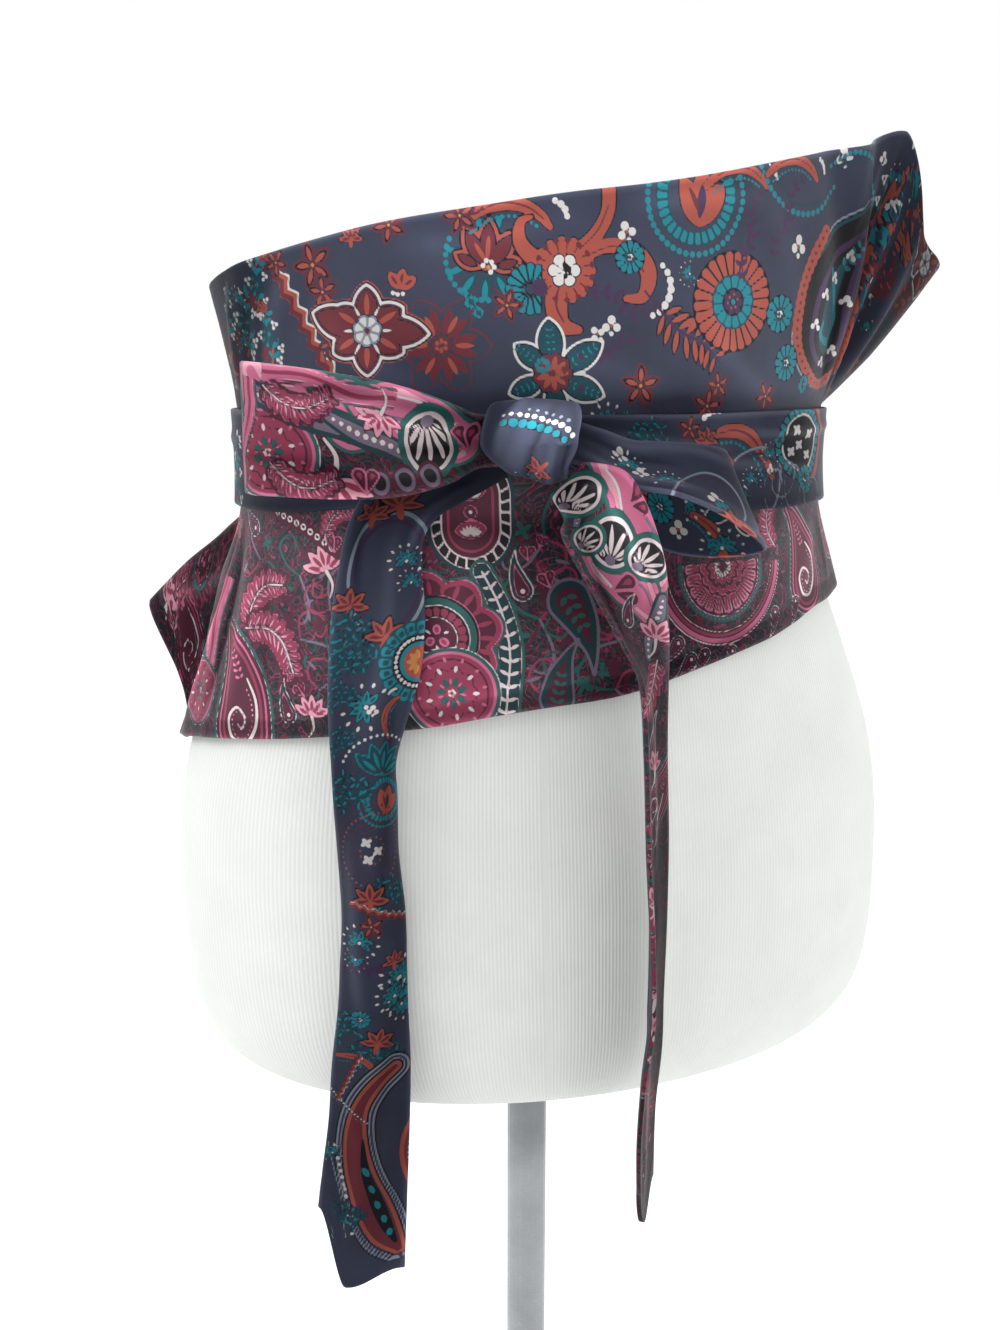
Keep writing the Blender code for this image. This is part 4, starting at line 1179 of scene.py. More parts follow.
UPPER_PRINT = [
    # motif, along, across, turn, size
    (SHADOW_FLOWER, -158, 40, 10, 1),
    (RING_DAISY, -188, 48, 0, 0.95),
    (SPRIG, -170, 20, 30, 1),
    (CURLED_FLOWER, -240, 32, 15, 0.85),
    (TEAL_CORAL_FLOWER, -212, 20, -20, 0.9),
    (WHITE_BLOSSOM, -222, 58, 0, 1),
    (OUTLINED_FLOWER, -292, 20, 30, 0.8),
    (VINE, -270, -2, 20, 0.9),
    (LEAF_FLOWER, -330, -6, 0, 0.8),
    (SPRIG, -262, 52, 80, 0.8),
    (TEAL_CORAL_FLOWER, 190, 84, 30, 0.9),
    (CURLED_FLOWER, 218, 30, -20, 0.9),
    (SPRIG, 182, 30, 0, 1),
    (RING_DAISY, 262, 62, 0, 0.95),
    (LEAF_FLOWER, 262, 22, 60, 0.85),
    (OUTLINED_FLOWER, 312, 52, -30, 0.8),
    (TEAL_RING, 318, 10, 0, 0.7),
    (BIG_PAISLEY, 362, 58, -25, 0.62),
    (SHADOW_FLOWER, 240, 84, 0, 0.8),
    (FERN, 292, 80, 10, 0.8),
    (BEADED_ARC, 345, 92, 0, 0.7),
    (FOLIAGE, -135.3, 58.7, -5.9, 0.9),
    (FOLIAGE, -164.1, 32.3, -35.8, 0.9),
    (FOLIAGE, -149.8, 63.8, -1.8, 0.7),
    (WAVY_STRIPE, -104.1, 62.9, 31.5, 1),
    (SPRIG, -94.6, 79.2, 20, 1.2),
    (SPRIG, -90.2, 68.7, 80, 0.9),
    (SPRIG, -87, 48.4, -40, 0.8),
    (SHADOW_FLOWER, -40.1, 47.5, 30, 1.2),
    (OUTLINED_FLOWER, -70.5, 53.4, 10, 0.92),
    (BUD, -56.4, 69.1, 0, 1),
    (TEAL_CORAL_FLOWER, -22.2, 80.6, 0, 1),
    (CORAL_SCROLL, -11.2, 98.2, 4, 0.72),
    (SPRIG, -60.8, 93, 100, 0.9),
    (VINE, 37.6, 65.5, -25, 0.9),
    (VINE, 24.9, 47.4, 15, 0.7),
    (CURLED_FLOWER, 8.1, 76, 0, 1.02),
    (WHITE_BLOSSOM, 27.6, 55.2, 0, 1),
    (WHITE_BLOSSOM, 21.7, 52, 40, 0.8),
    (WHITE_BLOSSOM, 33, 90.8, 20, 1),
    (WHITE_BEADS, 44.3, 68, 0, 0.85),
    (TEAL_DAISY, 34.7, 81.4, 0, 0.75),
    (SPRIG, -14.3, 62.7, 200, 0.8),
    (TEAL_DAISY, -28.3, 64, 0, 0.34),
    (TEAL_DAISY, -25.4, 59.9, 0, 0.28),
    (LEAF_FLOWER, 3.9, 36.9, 0, 0.98),
    (FERN, 63.8, 52.2, -12, 0.98),
    (RING_DAISY, 83.6, 65.7, 0, 1),
    (SPRIG, 40.6, 32, 0, 1.1),
    (SPRIG, 78.1, 32.1, 10, 0.8),
    (SPRIG, 72.9, 23.6, -10, 1),
    (SPRIG, 106.5, 27.5, 30, 0.9),
    (VINE, 87.1, 92.2, 75, 0.8),
    (TEAL_RING, 62.8, 104.8, 0, 1),
    (CORAL_SCROLL, 84.8, 115.4, 8, 0.62),
    (BEADED_ARC, 115.6, 110.6, -8, 1),
    (CORAL_SCROLL, 114.4, 121.1, 6, 0.6),
    (WHITE_BLOSSOM, 143.4, 127.9, 20, 1.2),
    (BIG_PAISLEY, 154.6, 73.7, -8, 1.25),
    (TEAL_DAISY, 110.7, 61.9, 0, 0.95),
    (TEAL_DAISY, 119.1, 41.7, 0, 0.95),
    (TEAL_DAISY, 135.8, 32.6, 0, 0.5),
    (WHITE_BLOSSOM, 118, 89.4, 0, 1.2),
    (VINE, 106.6, 101.3, 60, 0.8),
    (BEADED_ARC, 159.2, 123, -198.4, 0.9),
    (FOLIAGE, 189.9, 114.6, 6, 0.9),
    (CORAL_SCROLL, 197.4, 122.4, 71, 0.9),
    (TEAL_DAISY, 196.6, 111.9, 0, 0.8),
    (FERN, 215.6, 107.7, 97.8, 0.9),
    (FOLIAGE, 215.5, 123.4, 34.3, 0.8),
    (SHADOW_FLOWER, 204.7, 87.3, 0, 0.9),
    (CORAL_SCROLL, 187.8, 95.3, 70.1, 0.9),
    (OUTLINED_FLOWER, 252.3, 103.6, 0, 0.8),
    (TEAL_SPRAY, 26.9, 17.2, 0, 0.8),
    (LEAFY_PATCH, 35.7, 15.4, 0, 0.7),
    (TEAL_SPRAY, 23.6, 13.3, 200, 0.6),
    (DOTTED_PATCH, 54.2, 14.9, 0, 0.5),
    (LEAFY_PATCH, 47.7, 13.8, 0, 0.6),
    (SPRIG, -32.7, 95.9, 90, 0.9),
    (THISTLE, -76.8, 88.7, 0, 0.6),
    (TEAL_SPRAY, 61.3, 75.9, 120, 0.5),
    (TEAL_DAISY, 190.1, 101.8, 0, 0.6),
    (DOTTED_PATCH, 200.9, 75.5, 0, 0.6),
    (TEAL_SPRAY, 193.7, 126.4, 0, 0.7),
    (SPRIG, 225.6, 118.7, 0, 0.9),
    (TEAL_DAISY, 206.7, 130.1, 0, 0.5),
    (WHITE_BLOSSOM, 180.2, 132.2, 0, 0.8),
    (THISTLE, 221.4, 98.9, 0, 0.8),
    (TEAL_SPRAY, 200.5, 62.1, 0, 0.6),
    (THISTLE, -120.8, 82.1, 0, 0.5),
    (TEAL_SPRAY, -139.2, 49.5, 0, 0.6),
    (SPRIG, -113.3, 80.9, 40, 0.8),
    (TEAL_SPRAY, -140.6, 67.7, 0, 0.6),
    (FOLIAGE, -125, 73.2, -3.3, 0.75),
    (FOLIAGE, -119.4, 52.7, 12.4, 0.75),
    (BUD, -123.3, 62, 0, 0.6),
]
UPPER_SHADE = [
    # along, across, reach along, reach across, depth
    (232, 90, 60, 80, 1.00),
    (150, 84, 50, 60, 0.22),
    (-130, 60, 50, 50, 0.22),
    (-146, 66, 22, 50, 0.60),
    (196, 56, 16, 38, 0.40),
    (188, 126, 16, 30, 0.20),
    (330, 70, 60, 70, 0.50),
    (-172, 60, 26, 60, 0.55),
    (-246, 50, 50, 60, 0.40),
    (-140, 84, 22, 12, 0.25),
    (96, 70, 46, 26, -0.10),
    (-30, 70, 60, 26, -0.10),
    (40, 24, 160, 5, 0.28),
    (-150, 26, 60, 6, 0.34),
    (60, 24, 26, 10, 0.30),
]
middle, along, across = panel_middle(True, UPPER_CREASES)
ring, faces, finish, back_at = cloth_shell(middle, 12)
u, v = ring_run(along, across, back_at)
deep = depth_of_shade(u, v, UPPER_CREASES, UPPER_SHADE, (v[:, :1], across[:, -1:]))
fields = print_cloth(u, v, UPPER_PRINT, deep)
panel_upper_cloth = add_piece("panel_upper_cloth", ring.reshape(-1, 3), faces,
                              [floral_satin], fields)
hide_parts("panel_upper")

# Lower half of the sash panel. The same satin in a paisley print, cut double and
# sewn to the upper half under the ties, where both are drawn to the waist.
# Its inks stand in the same nine places as the floral one's.
ROSE, PINK, PALE, WINE, SOOT, GREEN, MAUVE, BOTTLE, BLUSH = range(9)


def draw_rosette(x, y):
    rim = scallops(x, y, 8, 31, 5.6, 12)
    yield from layers(rim, (GREEN, 2.2), (PINK, 1), (ROSE, 0), (WINE, -2.6))
    yield ROSE, petals(x, y, 22, 19, 28, 1.2)
    yield from layers(np.hypot(x, y), (PINK, 20.6), (SOOT, 19.9), (GREEN, 18.9), (PALE, 15.9),
                      (SOOT, 15.1))
    yield ROSE, rays(x, y, 20, 10.4, 14.4, 0.8)
    yield PALE, disc(x, y, 0, 0, 9.9)
    yield WINE, disc(x, y, 0, 0, 9.2)
    yield PINK, petals(x, y, 3, 1.2, 6.6, 2.2, 90)
    yield ROSE, petals(x, y, 3, 2.2, 5.4, 1, 90)
    yield PALE, petals(x, y, 3, 3, 7.4, 0.7, 30)


def draw_dotted_rose(x, y):
    rim = np.hypot(x, y * 1.08) - 20
    yield from layers(rim, (PALE, 3.9), (GREEN, 3.2), (PINK, 1.6), (ROSE, 0))
    yield WINE, np.abs(rim + 2.6) - 0.5
    yield WINE, scallops(x, y, 9, 12.8, 2)
    yield ROSE, scallops(x, y, 9, 12, 2)
    yield PALE, petals(x, y, 9, 9.6, 13.6, 0.9)
    yield PINK, petals(x, y, 12, 14.6, 17.6, 0.8, 11)
    yield GREEN, petals(x, y, 7, 2.6, 8, 1.2, 20)
    yield PINK, petals(x, y, 7, 3.6, 7.4, 0.7, 45)
    yield PALE, rays(x, y, 5, 0.6, 2.2, 0.5)


def draw_ladder_oval(x, y):
    rim = np.hypot(x, np.maximum(np.abs(y) - 8, 0)) - 12.5
    yield from layers(rim, (BOTTLE, 8.4), (PALE, 6.6), (SOOT, 5.9))
    yield PALE, np.maximum(np.abs(rim - 3.9) - 2.2, spokes(x, y * 0.8, 26, 0.55))
    yield from layers(rim, (PALE, 1.9), (WINE, 0.9), (ROSE, -1.2), (WINE, -2.6))
    for side in (9, -9):
        yield PINK, leaf(x, y, -8, side, 8, side + 1.5, 4.6)
        yield ROSE, leaf(x, y, -7.2, side, 7.2, side + 1.4, 3.9)
        yield PALE, petals(x, y - side + 3.5, 7, 1.5, 6.8, 0.7, 90, 110)
    yield PINK, np.abs(np.hypot(x, y) - 3) - 0.4
    yield PALE, disc(x, y, 0, 0, 1)


def draw_tooth_band(x, y):
    line = [(-5, -34, 1), (-2, -18, 1.1), (1, 0, 1.1), (-1, 18, 1), (-7, 34, .8)]
    thick = [(a, b, 4.2 * c) for a, b, c in line]
    yield GREEN, stroke(x, y, thick) - 1.6
    yield PALE, stroke(x, y, thick) - 0.4
    yield BOTTLE, stroke(x, y, thick)
    yield PALE, fringe(x, y, line, 5.4, 4.4, 0.75, 66)
    yield PALE, stroke(x, y, [(a, b, .5) for a, b, c in line])


def draw_heart(x, y):
    body = np.minimum(stroke(x, y, [(-1.7, 1.4, 2), (0, -3.4, .2)]),
                      stroke(x, y, [(1.7, 1.4, 2), (0, -3.4, .2)]))
    yield from layers(body, (PINK, 0), (WINE, -0.6), (ROSE, -1.3))


def draw_teardrop(x, y):
    line = [(0, -6, 5.2), (0, 0, 4), (1, 7, 1.9), (3.4, 12, .5)]
    yield PALE, stroke(x, y, line)
    yield BOTTLE, stroke(x, y, line) + 0.7
    yield PINK, stroke(x, y, line) + 1.9
    yield WINE, stroke(x, y, line) + 2.5
    yield PALE, disc(x, y, 0, -6.4, 1.2)


def draw_shell(x, y):
    # a wide fan of radiating leaves over rippled bands
    r = np.hypot(x, y)
    low = y - 3
    yield WINE, np.maximum(r - 34.5, low)
    yield GREEN, np.maximum(np.abs(r - 35.2) - 1.7, low)
    beaded = arc(34.8, .9, -3.1, 0, 24)
    yield MAUVE, beads(x, y, beaded, 3.4)
    yield PALE, np.maximum(np.abs(r - 33) - 0.4, low)
    outer = rays(x, y, 22, 19.5, 31.6, 0.9, 2.6)
    yield PINK, np.maximum(outer, low)
    yield ROSE, np.maximum(rays(x, y, 22, 20.6, 29.6, 2.2, 2), low)
    yield BLUSH, np.maximum(rays(x, y, 66, 22, 31, 1.8, 0.5), low)
    for level, ink in ((20.5, WINE), (19.4, PINK), (18.4, ROSE), (15.6, PINK), (14.8, WINE),
                       (12.6, PINK), (11.9, ROSE), (9, BLUSH), (8.2, WINE)):
        yield ink, np.maximum(scallops(x, y, 12, level, 2.6), low)
    yield PALE, np.maximum(rays(x, y, 16, 2, 7.2, 0.8), low)


def draw_long_arcs(x, y):
    # three quarters of a wide ring in thin bands
    r = np.hypot(x, y)
    low = y + 2
    for level, wide, ink in ((48, 5.6, WINE), (52.6, 0.5, PALE), (50, 1.5, PINK),
                             (46.6, 1, ROSE), (44.2, 0.4, PALE)):
        yield ink, np.maximum(np.abs(r - level) - wide, low)


def draw_spiral_paisley(x, y):
    spine = [(0, -12, 15), (0, -2, 13.5), (-2, 8, 10.5), (-6, 18, 6.5), (-12, 27, 3),
             (-17, 31, 1)]
    body = stroke(x, y, spine)
    yield from layers(body, (GREEN, 5.2), (PALE, 3.7), (WINE, 3.1), (PINK, 1.3), (WINE, 0),
                      (ROSE, -1.5), (WINE, -3.2))
    swirl = [(2, 10, .6), (8, 1, .8), (9, -10, .9), (3, -19, .9), (-6, -18, .9), (-9, -10, .8),
             (-4, -4, .7), (2, -8, .7), (0, -13, .6), (-3, -11, .5)]
    yield PALE, stroke(x, y, swirl)
    yield BLUSH, beads(x, y, [(a * .72, b * .8 - 2, .6) for a, b, c in swirl], 2.4)
    yield PINK, fringe(x, y, [(-2, 8, 1), (-6, 17, .9), (-11, 25, .6)], 3, 3.4, .8)


def draw_feather(x, y):
    line = [(-16, -6, 1), (-6, 2, 1.4), (5, 4, 1.3), (17, -3, .8)]
    body = fringe(x, y, line, 4, 7, 1.9, 58)
    yield from layers(body, (WINE, 1.2), (PINK, 0), (ROSE, -0.55))
    yield BLUSH, fringe(x, y, line, 4, 5, 0.4, 58)
    yield PALE, stroke(x, y, [(a, b, .45) for a, b, c in line])


def draw_tulip(x, y):
    yield SOOT, petals(x, y, 5, 0, 12.4, 2.6, 90, 130)
    yield BLUSH, petals(x, y, 5, 0.6, 11.8, 2.1, 90, 130)
    yield ROSE, petals(x, y, 5, 2, 9.2, 0.9, 90, 130)
    yield PALE, stroke(x, y, [(0, 0, .9), (1, -6, .6), (-2, -11, .4)])


def draw_ladder(x, y):
    line = [(-24, 8, 1.5), (-10, 4, 1.6), (4, -1, 1.6), (20, -10, 1.5)]
    yield WINE, stroke(x, y, line) - 1.3
    yield PALE, beads(x, y, line, 4.2)
    yield SOOT, beads(x, y, [(a, b, .7) for a, b, c in line], 4.2)


def draw_swirl_ground(x, y):
    # thin curling stems that fill between the motifs
    arms = [[(0, 0, .5), (7, 5, .6), (14, 1, .6), (13, -7, .5), (7, -8, .5), (7, -3, .4)],
            [(0, 0, .5), (-8, 4, .6), (-13, 12, .6), (-6, 17, .5), (-2, 12, .4)],
            [(0, 0, .5), (-4, -9, .6), (-13, -12, .6), (-17, -5, .5), (-12, -3, .4)],
            [(0, 0, .5), (5, -12, .6), (2, -20, .5), (-5, -18, .4)]]
    for arm, ink in zip(arms, (ROSE, GREEN, WINE, MAUVE)):
        yield ink, stroke(x, y, arm)
    yield WINE, petals(x - 3, y - 9, 5, 0, 4.6, 1.1)
    yield GREEN, petals(x + 8, y + 6, 4, 0, 4.6, 1)
    yield MAUVE, leaf(x, y, 9, -1, 14, 4, 0.8)


def draw_fan_leaf(x, y):
    # an outlined leaf with a fan of veins
    line = [(0, -5, 9), (0, 2, 7.6), (1, 9, 3.6), (2, 14, .6)]
    body = stroke(x, y, line)
    yield from layers(body, (GREEN, 1.8), (PALE, 0), (SOOT, -1.2))
    yield PALE, petals(x, y + 9, 7, 2, 15, 1.5, 90, 150)
    yield SOOT, petals(x, y + 9, 7, 5, 13, 0.6, 90, 150)
    yield PALE, disc(x, y, 0, -9, 2)
    yield PINK, disc(x, y, 0, -9, 1.1)


def draw_oval_leaf(x, y):
    # a pale-rimmed dark oval with a fan of pale veins
    rim = np.hypot(x, y * 0.80) - 8
    yield from layers(rim, (GREEN, 1.9), (PALE, 0), (SOOT, -1.3))
    yield PALE, np.maximum(petals(x, y + 7.5, 7, 2, 15.5, 0.85, 90, 120), rim + 2)
    yield MAUVE, disc(x, y, 0, -7, 2)


def draw_pink_ground(x, y):
    # a broad uneven field of pink with paler and darker veins
    line = [(-24, 2, 7), (-10, -2, 11), (6, 2, 12.5), (22, -1, 8)]
    body = stroke(x, y, line) + 1.2 * np.sin(x / 3.6) * np.cos(y / 4.4)
    yield from layers(body, (GREEN, 1.6), (PINK, 0), (BLUSH, -2.4), (PINK, -5.4))
    yield MAUVE, stroke(x, y, [(-20, 5, .5), (-6, 1, .7), (8, 6, .7), (20, 2, .5)])
    yield PALE, stroke(x, y, [(-18, -5, .6), (-2, -8, .8), (14, -6, .6)])


def draw_grey_band(x, y):
    line = [(-24, 6, 2.6), (-8, 3, 3.8), (8, -3, 3.8), (24, -6, 2.4)]
    yield BOTTLE, stroke(x, y, line) - 1.6
    yield MAUVE, stroke(x, y, line)
    yield PALE, beads(x, y, [(a, b, r * .42) for a, b, r in line], 4.6)


def draw_quiet_drop(x, y):
    # a large faint drop, only a little paler than the ground
    line = [(0, -6, 6.4), (0, 1, 4.8), (1.6, 9, 2.2), (4.4, 15, .6)]
    yield MAUVE, stroke(x, y, line)
    yield BOTTLE, stroke(x, y, line) + 0.9
    yield WINE, stroke(x, y, line) + 2.6
    yield GREEN, fringe(x, y, [(0, -9, 1), (.4, 2, .8)], 3, 3.2, .8)


def draw_ovals(x, y):
    for cx in (-9, 0, 9):
        ring = np.hypot(x - cx, y * 0.8) - 3.4
        yield WINE, ring - 1
        yield MAUVE, ring
        yield SOOT, ring + 1.2


def draw_pink_band(x, y):
    wave = np.abs(y - 2 * np.sin(x / 9))
    end = np.abs(x) - 40
    yield GREEN, np.maximum(wave - 7, end)
    yield PINK, np.maximum(wave - 5.8, end)
    yield BLUSH, np.maximum(wave - 4.6, end)
    yield PINK, np.maximum(wave - 3.6, end)
    yield ROSE, np.maximum(wave - 1.2, end)


ROSETTE = (draw_rosette, 38)
DOTTED_ROSE = (draw_dotted_rose, 26)
LADDER_OVAL = (draw_ladder_oval, 36)
TOOTH_BAND = (draw_tooth_band, 44)
HEART = (draw_heart, 6)
TEARDROP = (draw_teardrop, 15)
SHELL = (draw_shell, 38)
LONG_ARCS = (draw_long_arcs, 56)
SPIRAL_PAISLEY = (draw_spiral_paisley, 40)
FEATHER = (draw_feather, 28)
TULIP = (draw_tulip, 15)
LADDER = (draw_ladder, 32)
SWIRL_GROUND = (draw_swirl_ground, 24)
FAN_LEAF = (draw_fan_leaf, 22)
PINK_BAND = (draw_pink_band, 44)
OVALS = (draw_ovals, 17)
OVAL_LEAF = (draw_oval_leaf, 14)
PINK_GROUND = (draw_pink_ground, 36)
GREY_BAND = (draw_grey_band, 32)
QUIET_DROP = (draw_quiet_drop, 20)


paisley_satin = dyed_satin(
    "printed_satin_paisley", ("#1c1c23", "#2a212b"),
    # rose, pink, pale, wine, soot, green, mauve, bottle, blush
    ("#84304a", "#b35c7c", "#c6b8ba", "#4a1a2e", "#141419", "#21524f", "#665a6c",
     "#16343a", "#cb8c9f"),
    # fine curling lines of bottle green, wine and rose that fill the whole ground
    [(0.085, 5.0, 0.20, "#193b3b"), (0.070, 6.0, 0.17, "#561a31"), (0.10, 4.0, 0.07, "#7d3350")])

LOWER_CREASES = [
    (-112, -28, -96, -96, 4, 7, 0.7),
    (-132, -27, -126, -112, 3, 5.5, -0.8),
    (-143, -27, -148, -118, 3, 4.5, 1.2),
    (-150, -27, -172, -126, 3, 3.8, -1.5),
    (-155, -27, -197, -134, 3, 3.8, 1.8),
    (-160, -27, -222, -136, 4, 3.6, -2),
    (-165, -27, -247, -128, 3, 4.2, 2),
    (-170, -28, -270, -112, 4, 4, -1.9),
    (-180, -28, -292, -98, 4, 5, 1.8),
    (-200, -28, -318, -84, 4, 6, -1.6),
    (166, -27, 172, -62, 2, 4, 0.9),
    (154, -27, 128, -66, 3, 5, 0.8),
    (128, -27, 70, -74, 5, 6, 0.6),
    (40, -27, 22, -84, 3, 6, 0.5),
    (-30, -27, -52, -92, 4, 6, 0.6),
    (-60, -98, 20, -90, 2, 5, 0.5),
]
LOWER_PRINT = [
    # motif, along, across, turn, size
    (ROSETTE, -262, -52, 0, 0.8),
    (SPIRAL_PAISLEY, -215, -70, -30, 0.9),
    (SHELL, -308, -70, 20, 0.75),
    (LADDER_OVAL, -345, -28, 40, 0.8),
    (FEATHER, -280, -95, 10, 0.9),
    (DOTTED_ROSE, -388, -48, 0, 0.8),
    (TULIP, -235, -28, -30, 1),
    (SWIRL_GROUND, -330, -92, 0, 0.9),
    (PINK_BAND, -415, -30, 70, 0.7),
    (TEARDROP, -300, -22, 20, 1),
    (DOTTED_ROSE, 188, -34, 0, 0.8),
    (SPIRAL_PAISLEY, 226, -24, 60, 0.7),
    (FEATHER, 200, -8, 0, 0.8),
    (LADDER, 245, -48, 10, 0.9),
    (ROSETTE, 272, -20, 0, 0.55),
    (TULIP, 255, 2, 20, 0.8),
    (SWIRL_GROUND, 300, -8, 40, 0.8),
    (HEART, 212, -52, 0, 1),
    (SWIRL_GROUND, -105.4, -47.5, 0, 1),
    (SWIRL_GROUND, -105, -74.3, 60, 1),
    (SWIRL_GROUND, -90.6, -60.6, 160, 0.9),
    (SWIRL_GROUND, -132.8, -43.1, 200, 0.9),
    (SWIRL_GROUND, -96.1, -94.5, 100, 0.9),
    (SWIRL_GROUND, -2.1, -62.2, 0, 1.1),
    (SWIRL_GROUND, 18.6, -75.4, 80, 1.1),
    (SWIRL_GROUND, 32.4, -63.8, 200, 1),
    (SWIRL_GROUND, 5.7, -91.2, 150, 1),
    (SWIRL_GROUND, 29.6, -92.3, 20, 1),
    (SWIRL_GROUND, 0.7, -29.7, 300, 1),
    (SWIRL_GROUND, 10.7, -54.4, 120, 0.9),
    (SWIRL_GROUND, 41, -39.4, 40, 1),
    (QUIET_DROP, 14.9, -62.8, -150, 1.5),
    (QUIET_DROP, 34.2, -59.4, 20, 1.3),
    (QUIET_DROP, 5.7, -87.7, -10, 1.2),
    (LADDER_OVAL, -29.3, -18.4, 0, 0.86),
    (TOOTH_BAND, -15.6, -75.1, 5, 0.98),
    (ROSETTE, -44.2, -69.7, 0, 0.86),
    (DOTTED_ROSE, -38.8, -92.3, 0, 0.86),
    (TEARDROP, -10.8, -45.2, 20, 0.9),
    (HEART, -6.6, -35.2, 0, 0.95),
    (HEART, 1.3, -46.2, 20, 1.1),
    (HEART, -0.7, -30.6, -20, 0.8),
    (LONG_ARCS, 82.7, -43, 0, 0.66),
    (SHELL, 82.9, -44.5, 0, 0.64),
    (TEARDROP, 56.4, -78.6, 140, 0.7),
    (TEARDROP, 63, -86, 140, 0.7),
    (TEARDROP, 71, -84.2, 150, 0.6),
    (TEARDROP, 47.6, -84.7, 130, 0.6),
    (TEARDROP, 86.7, -84.7, 160, 0.6),
    (SPIRAL_PAISLEY, 141.6, -47, 0, 0.8),
    (FEATHER, 113.6, -26.9, 80, 0.7),
    (TEARDROP, 113.5, -71, 170, 0.6),
    (TEARDROP, 129.8, -67.9, 170, 0.6),
    (FEATHER, -129.6, -60.1, 38.9, 0.9),
    (FEATHER, -121.7, -77.2, -32.6, 1),
    (SPIRAL_PAISLEY, -137.5, -104.6, 0, 0.95),
    (TULIP, -92.4, -44.6, 20, 1),
    (LADDER, -106.5, -26.8, 0, 1),
    (FEATHER, -86.7, -23.1, 30, 0.6),
    (HEART, -88.4, -33.2, 0, 1.1),
    (TEARDROP, -113.1, -102, 20, 0.8),
    (TULIP, -99.9, -106.1, 0, 0.8),
    (TULIP, -84.1, -97.8, -20, 0.8),
    (HEART, -105.4, -95.8, 40, 1),
    (PINK_BAND, -169.8, -85, 78.9, 0.8),
    (SPIRAL_PAISLEY, -265.2, -100.1, 30, 0.9),
    (FEATHER, -277.8, -92.7, 60, 0.9),
    (ROSETTE, -260.2, -69.3, 0, 0.6),
    (DOTTED_ROSE, -176.3, -108.2, 0, 0.7),
    (TULIP, -290.8, -100.1, 0, 1),
    (FEATHER, -171.1, -34.7, 20, 0.8),
    (TEARDROP, -142.6, -27.3, 60, 0.8),
]
LOWER_SHADE = [
    # along, across, reach along, reach across, depth
    (-236, -84, 50, 70, 0.62),
    (-162, -60, 16, 50, 0.34),
    (-320, -90, 60, 70, 0.45),
    (0, -25, 170, 6, 0.36),
    (6, -40, 26, 22, 0.34),
    (66, -52, 44, 44, 0.48),
    (20, -80, 180, 70, 0.09),
    (-230, -90, 60, 60, 0.20),
    (172, -44, 16, 30, 0.40),
    (40, -70, 30, 30, 0.18),
    (-104, -60, 18, 40, 0.10),
    (220, -50, 40, 40, 0.35),
]
middle, along, across = panel_middle(False, LOWER_CREASES)
ring, faces, finish, back_at = cloth_shell(middle, 12)
u, v = ring_run(along, across, back_at)
deep = depth_of_shade(u, v, LOWER_CREASES, LOWER_SHADE, (across[:, :1], v[:, -1:] + 9.0))
fields = print_cloth(u, v, LOWER_PRINT, deep)
panel_lower_cloth = add_piece("panel_lower_cloth", ring.reshape(-1, 3), faces,
                              [paisley_satin], fields)
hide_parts("panel_lower")

# Ties. Two long straps of the same satin, sewn double into the panel's ends.
# Each goes round the back, crosses the other and comes to the knot in front.
TIE_RIGHT = [
    # angle, height of its middle, half height, lift off what is under it
    (130.15, 34, 22, 0),
    (150, 30.5, 22, 0),
    (180, 23.5, 22, 0),
    (200, 18.8, 22, 0),
    (208, 16, 22, 0.5),
    (216, 12, 22, 2.9),
    (226, 7, 21.8, 2.9),
    (236, 3, 21.6, 2.9),
    (250, 0.6, 21.5, 2.9),
    (270, 0, 21.5, 2.9),
    (300, 0, 21.5, 2.9),
    (325, 2, 19, 3),
    (344, 7, 14, 3.1),
    (353.5, 9.5, 11, 3),
]
# round the back the left tie is the right one's mirror image
TIE_LEFT = [(-angle, -middle, half, lift) for angle, middle, half, lift in TIE_RIGHT[:10]]
TIE_LEFT += [
    (-300, 0, 21.3, 2.9),
    (-322, 1.5, 19, 3),
    (-340, 6, 14.5, 3.1),
    (-362.5, 9.5, 11, 3),
]


TIE_STEP = 0.5         # degrees from one line of points on a tie to the next
TIE_COLUMNS = 43       # and points on each line, edge to edge


def under_tie(angle, height):
    # what the tie lies on: the panel where there is one, or else the form
    turned = (angle + 180.0) % 360.0 - 180.0
    low = row_at(BOTTOM_EDGE, turned)[0]
    high = row_at(TOP_EDGE, turned)[0]
    on_form = lying(angle, height)
    on_panel = panel_radius(turned, np.minimum(np.maximum(height, low), high))
    return np.where(np.abs(turned) > END_ANGLE, on_form, np.maximum(on_panel, on_form))


def tie_middle(rows, creases):
    start, end = rows[0][0], rows[-1][0]
    count = round(abs(end - start) / TIE_STEP)
    angles = np.linspace(start, end, count + 1)
    key = [(abs(row[0]),) + row[1:] for row in rows]
    middle, half, lift = row_at(key, np.abs(angles))
    s = np.linspace(-1.0, 1.0, TIE_COLUMNS)[None]
    height = middle[:, None] + (half - EDGE_ROLL)[:, None] * s
    angle = angles[:, None] + 0.0 * s
    radius = under_tie(angle, height) + lift[:, None]
    flat = place(angle, radius, height)
    along, across = cloth_run(flat, 0)
    across = across - across[:, -1:] / 2.0
    radius = radius + soft_creases(along, across, creases)
    return place(angle, radius, height), along, across


